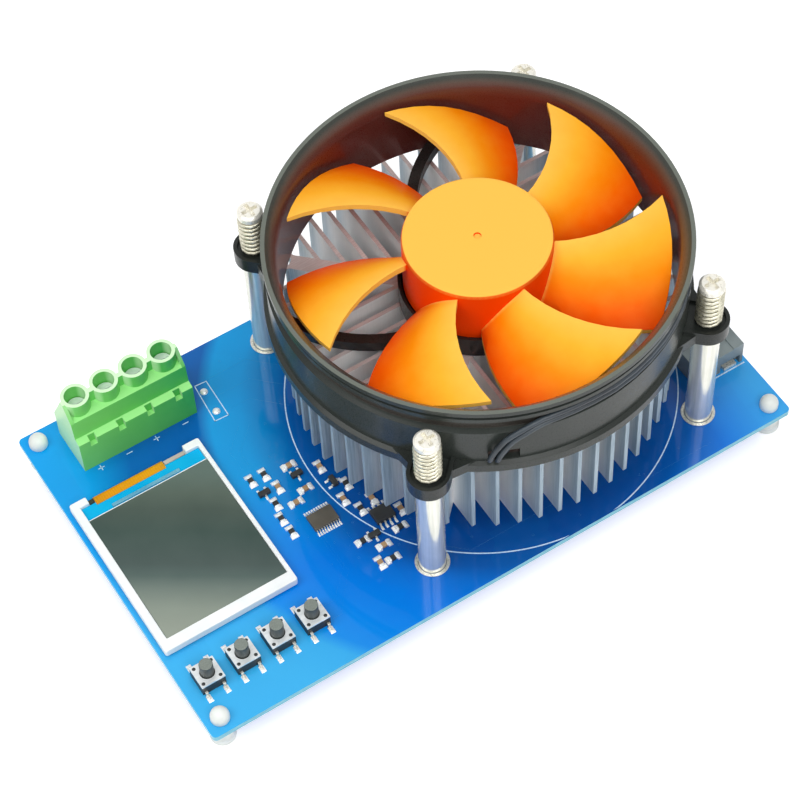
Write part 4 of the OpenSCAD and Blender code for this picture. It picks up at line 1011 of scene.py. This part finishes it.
def make_floor():
    """White paper just under the feet, lifted to white for the camera and for reflections."""
    clear_selection()
    bpy.ops.mesh.primitive_plane_add(size=6.0, location=(0, 0, -0.0002))
    floor = bpy.context.object
    floor.name = "white_floor"
    material, tree, shader = finish_named("floor_paper", 0.9, specular=0.1)
    paper = cloud(tree, place_on_piece(tree), 0.004, 2.0)
    paint(tree, shader, fade(tree, paper, 0.3, 0.7, 0.93, 0.96))
    path = tree.nodes.new("ShaderNodeLightPath")
    seen = sums(tree, "MAXIMUM", path.outputs["Is Camera Ray"], path.outputs["Is Glossy Ray"])
    shader.inputs["Emission Color"].default_value = grey(1.0)
    tree.links.new(sums(tree, "MULTIPLY", seen, 0.35), shader.inputs["Emission Strength"])
    floor.data.materials.append(material)


def make_world():
    """Even white surroundings, brighter to the camera and in reflections than as light."""
    world = bpy.data.worlds.new("studio")
    bpy.context.scene.world = world
    world.use_nodes = True
    tree = world.node_tree
    tree.nodes.clear()
    out = tree.nodes.new("ShaderNodeOutputWorld")
    sky = tree.nodes.new("ShaderNodeBackground")
    sky.inputs["Color"].default_value = grey(1.0)
    path = tree.nodes.new("ShaderNodeLightPath")
    seen = sums(tree, "MAXIMUM", path.outputs["Is Camera Ray"], path.outputs["Is Transmission Ray"])
    shown = sums(tree, "MAXIMUM", seen, sums(tree, "MULTIPLY", path.outputs["Is Glossy Ray"], 0.8))
    tree.links.new(sums(tree, "MAXIMUM", shown, 0.45), sky.inputs["Strength"])
    tree.links.new(sky.outputs["Background"], out.inputs["Surface"])


def soft_lamp(name, place, size, power):
    """A round lamp aimed just above the board; its place and size in metres, its power in watts."""
    aim = Vector((0, 0, 0.03))
    bpy.ops.object.light_add(type="AREA", location=place)
    lamp = bpy.context.object
    lamp.name = name
    lamp.data.shape = "DISK"
    lamp.data.size = size
    lamp.data.energy = power
    lamp.rotation_euler = (aim - Vector(place)).to_track_quat("-Z", "Y").to_euler()
    return lamp


make_camera()
for name in sorted(NODE_LOOKS):
    dressed_node(name)
cooler_print()
small_print()
chip_solder()
switch_solder()
cover_rivets()
post_pads()
plated_holes()
small_vias()
copper_tracks()
underside_solder()
display_back_strips()
make_floor()
make_world()
soft_lamp("key_box", (-0.5, 0.0, 0.75), size=0.6, power=2.8)
soft_lamp("fill_box", (-0.05, -0.55, 0.75), size=0.6, power=3.5)
soft_lamp("top_box", (0.25, 0.35, 0.85), size=0.7, power=1.4).visible_glossy = False

bpy.context.scene.view_settings.view_transform = "Standard"
